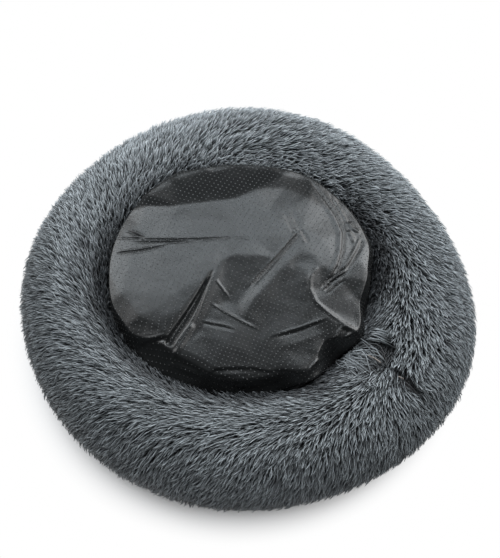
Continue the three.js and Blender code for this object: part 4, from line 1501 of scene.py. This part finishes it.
def sleeping_pile(material):
    """Locks that all lie one way on the sleeping side, in a round that is fuller in the middle."""
    reach = WELL_RADIUS - SLEEPING_MARGIN
    kind = SLEEPING_LOCKS
    count = int(4 * reach**2 / kind["spacing"]**2)
    x, y = rng.uniform(-reach, reach, (2, count))
    inside = np.hypot(x, y) < reach
    x, y = x[inside] + PANEL_CENTRE[0], y[inside] + PANEL_CENTRE[1]
    count = len(x)
    far = np.hypot(x - PANEL_CENTRE[0], y - PANEL_CENTRE[1]) / reach
    lie = SLEEPING_LIE + SLEEPING_WAVE * lie_noise(np.arctan2(y, x), far * 3)
    lie = lie + rng.normal(0, SLEEPING_SPREAD, count)
    run = rng.uniform(*kind["runs"], count)
    tip = PILE_FACE - SLEEPING_CROWN * (1 - far**2) + rng.uniform(*kind["tips"], count)
    wave = rng.uniform(0, TURN, count)
    swing = rng.normal(0, kind["curl"], count)
    root = SLEEPING_BACK - SLEEPING_ROOT
    path = []
    for step in kind["steps"]:
        onward, lift, sway = strand_course(step, wave, swing)
        path.append(np.stack([
            x + np.cos(lie) * run * onward - np.sin(lie) * sway,
            y + np.sin(lie) * run * onward + np.cos(lie) * sway,
            root + (tip - root) * lift], -1))
    path = np.stack(path, 1)
    off = path[..., :2] - PANEL_CENTRE
    away = np.linalg.norm(off, axis=2, keepdims=True)
    path[..., :2] = PANEL_CENTRE + off * np.minimum(1, (WELL_RADIUS + SLEEPING_REACH) / (away + 1e-9))
    down = np.tile(np.array([0.0, 0.0, -1.0]), (count, 1))
    tone = nearest_tone(TONES * 0.5 + rng.normal(0, SLEEPING_TONES, count))
    scale = rng.uniform(*SLEEPING_SIZES, count)
    locks = strands(path + SHIFT, down, kind["half_widths"], scale, tone)
    return mesh_piece("sleeping_pile", [locks], material, "OFBake")


# Stage, light and camera

CAMERA_DISTANCE = 2.2
CAMERA_HEIGHT_ANGLE = math.radians(59.09)
PHOTO_WIDTH = 500
PHOTO_FOCAL = 1640.7
PHOTO_CENTRE = (250, 279)
BED_IN_PHOTO = (245.8, 302.3)
SENSOR = 36
VIEW_REACH = 50
FLOOR_SIZE = 30
# The floor's colour for the light that it throws back, and as it is seen in the bed's shadow
FLOOR_BOUNCE = (0.26, 0.26, 0.26)
FLOOR_SHOWN = (0.75, 0.77, 0.79)
# The floor shows its shadow up to one distance from this centre, and is white from the other on
FLOOR_WHITE_CENTRE = (-0.012, -0.008, 0)
FLOOR_WHITE_FROM = 0.249
FLOOR_WHITE_FULL = 0.320
WORLD_LEVEL = 0.5
LAMP_AIM = (0, 0, 0.1)


def set_camera():
    """The photograph's view, framed as there by a small shift."""
    target = Vector((SHIFT[0], SHIFT[1], TUBE_CENTRE))
    back = Vector((0, -math.cos(CAMERA_HEIGHT_ANGLE), math.sin(CAMERA_HEIGHT_ANGLE)))
    data = bpy.data.cameras.new("camera")
    camera = bpy.data.objects.new("camera", data)
    bpy.context.collection.objects.link(camera)
    camera.location = target + back * CAMERA_DISTANCE
    camera.rotation_euler = back.to_track_quat("Z", "Y").to_euler()
    data.sensor_fit = "HORIZONTAL"
    data.sensor_width = SENSOR
    data.lens = PHOTO_FOCAL / PHOTO_WIDTH * SENSOR
    data.shift_x = (PHOTO_CENTRE[0] - BED_IN_PHOTO[0]) / PHOTO_WIDTH
    data.shift_y = (BED_IN_PHOTO[1] - PHOTO_CENTRE[1]) / PHOTO_WIDTH
    data.clip_end = VIEW_REACH
    bpy.context.scene.camera = camera


def soft_light(name, place, size, power, colour=(1, 1, 1), in_gloss=True):
    """A rectangular lamp of that size and power, aimed at the bed."""
    data = bpy.data.lights.new(name, "AREA")
    data.shape = "RECTANGLE"
    data.size, data.size_y = size
    data.energy = power
    data.color = colour
    lamp = bpy.data.objects.new(name, data)
    bpy.context.collection.objects.link(lamp)
    lamp.location = place
    lamp.visible_glossy = in_gloss
    lamp.rotation_euler = (Vector(place) - Vector(LAMP_AIM)).to_track_quat("Z", "Y").to_euler()


def white_floor():
    """White for the camera and in gloss, with the bed's shadow kept near it."""
    floor = Finish("white_floor", Roughness=0.9, Specular_IOR_Level=0.1)
    rays = floor.add("ShaderNodeLightPath")
    camera_ray, gloss_ray, through_ray = rays[0], rays[3], rays[6]
    shown = camera_ray.maths("MAXIMUM", gloss_ray).maths("MAXIMUM", through_ray)
    floor.colour(floor.blend(shown, FLOOR_BOUNCE, FLOOR_SHOWN))
    place = floor.object_place()
    away = floor.add("ShaderNodeVectorMath", {"operation": "DISTANCE"}, (place, FLOOR_WHITE_CENTRE))[1]
    glow = floor.add("ShaderNodeEmission", None, {"Color": (1, 1, 1, 1), "Strength": 1.0})[0]
    bare = away.between(FLOOR_WHITE_FROM, FLOOR_WHITE_FULL) * shown
    output = floor.nodes["Material Output"].inputs["Surface"]
    plain = Wire(floor, floor.surface.outputs[0])
    floor.plug(output, floor.add("ShaderNodeMixShader", None, (bare, plain, glow))[0])
    return floor.material


def set_stage():
    deselect()
    bpy.ops.mesh.primitive_plane_add(size=FLOOR_SIZE, location=(0, 0, 0))
    floor = bpy.context.object
    floor.name = "floor"
    floor.data.materials.append(white_floor())


def set_world():
    """A dim, even world, brighter only where the camera looks past the floor."""
    world = bpy.data.worlds.new("studio")
    studio = Tree(world)
    camera_ray = studio.add("ShaderNodeLightPath")[0]
    strength = studio.nodes["Background"].inputs["Strength"]
    studio.plug(strength, camera_ray * (1 - WORLD_LEVEL) + WORLD_LEVEL)
    bpy.context.scene.world = world


set_camera()
set_stage()
set_world()
soft_light("right_softbox", (1.65, 1.35, 1.8), (2.3, 2.3), 122)
soft_light("left_softbox", (-1.65, 1.35, 1.8), (2.3, 2.3), 66)
soft_light("sheen_panel", (0, 1.5, 2.28), (3.0, 0.45), 35.5, (0.84, 0.935, 1))
soft_light("fill_softbox", (-0.3, -0.85, 2.6), (2.0, 2.0), 42, in_gloss=False)

fur = fur_finish()
knit = backing_finish()
cloth = grip_cloth_finish()
rubber = dot_finish()
lining = lining_finish()
fibre = fibre_finish()
thread = thread_finish()
frayed = frayed_finish()

backing = ring_backing(knit)
pile = ring_pile(fur)
panel, panel_points, panel_flat = base_cloth(cloth)
dots = grip_dots(panel_points, panel_flat, rubber)
seam_pieces = end_seam(thread, frayed)
bed_backing = sleeping_backing(knit)
bed_pile = sleeping_pile(fur)

for piece in [backing, *pile]:
    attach(piece, "root")
    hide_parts("ring_fur_cover")
for piece in (panel, dots):
    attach(piece, "root")
    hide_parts("base_panel")
for piece in seam_pieces:
    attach(piece, "root")
    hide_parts("ring_end_seam")
for piece in (bed_backing, bed_pile):
    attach(piece, "root")
    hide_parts("sleeping_panel")

for node, material in (
    ("ring_liner", lining), ("pad_liner", lining),
    ("ring_fill", fibre), ("pad_fill", fibre),
    ("base_seam", thread), ("closing_stitch", thread),
    ("sleeping_seam", thread),
):
    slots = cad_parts[node].material_slots
    slots[0].material = material

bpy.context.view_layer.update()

scene = bpy.context.scene
scene.view_settings.view_transform = "Standard"
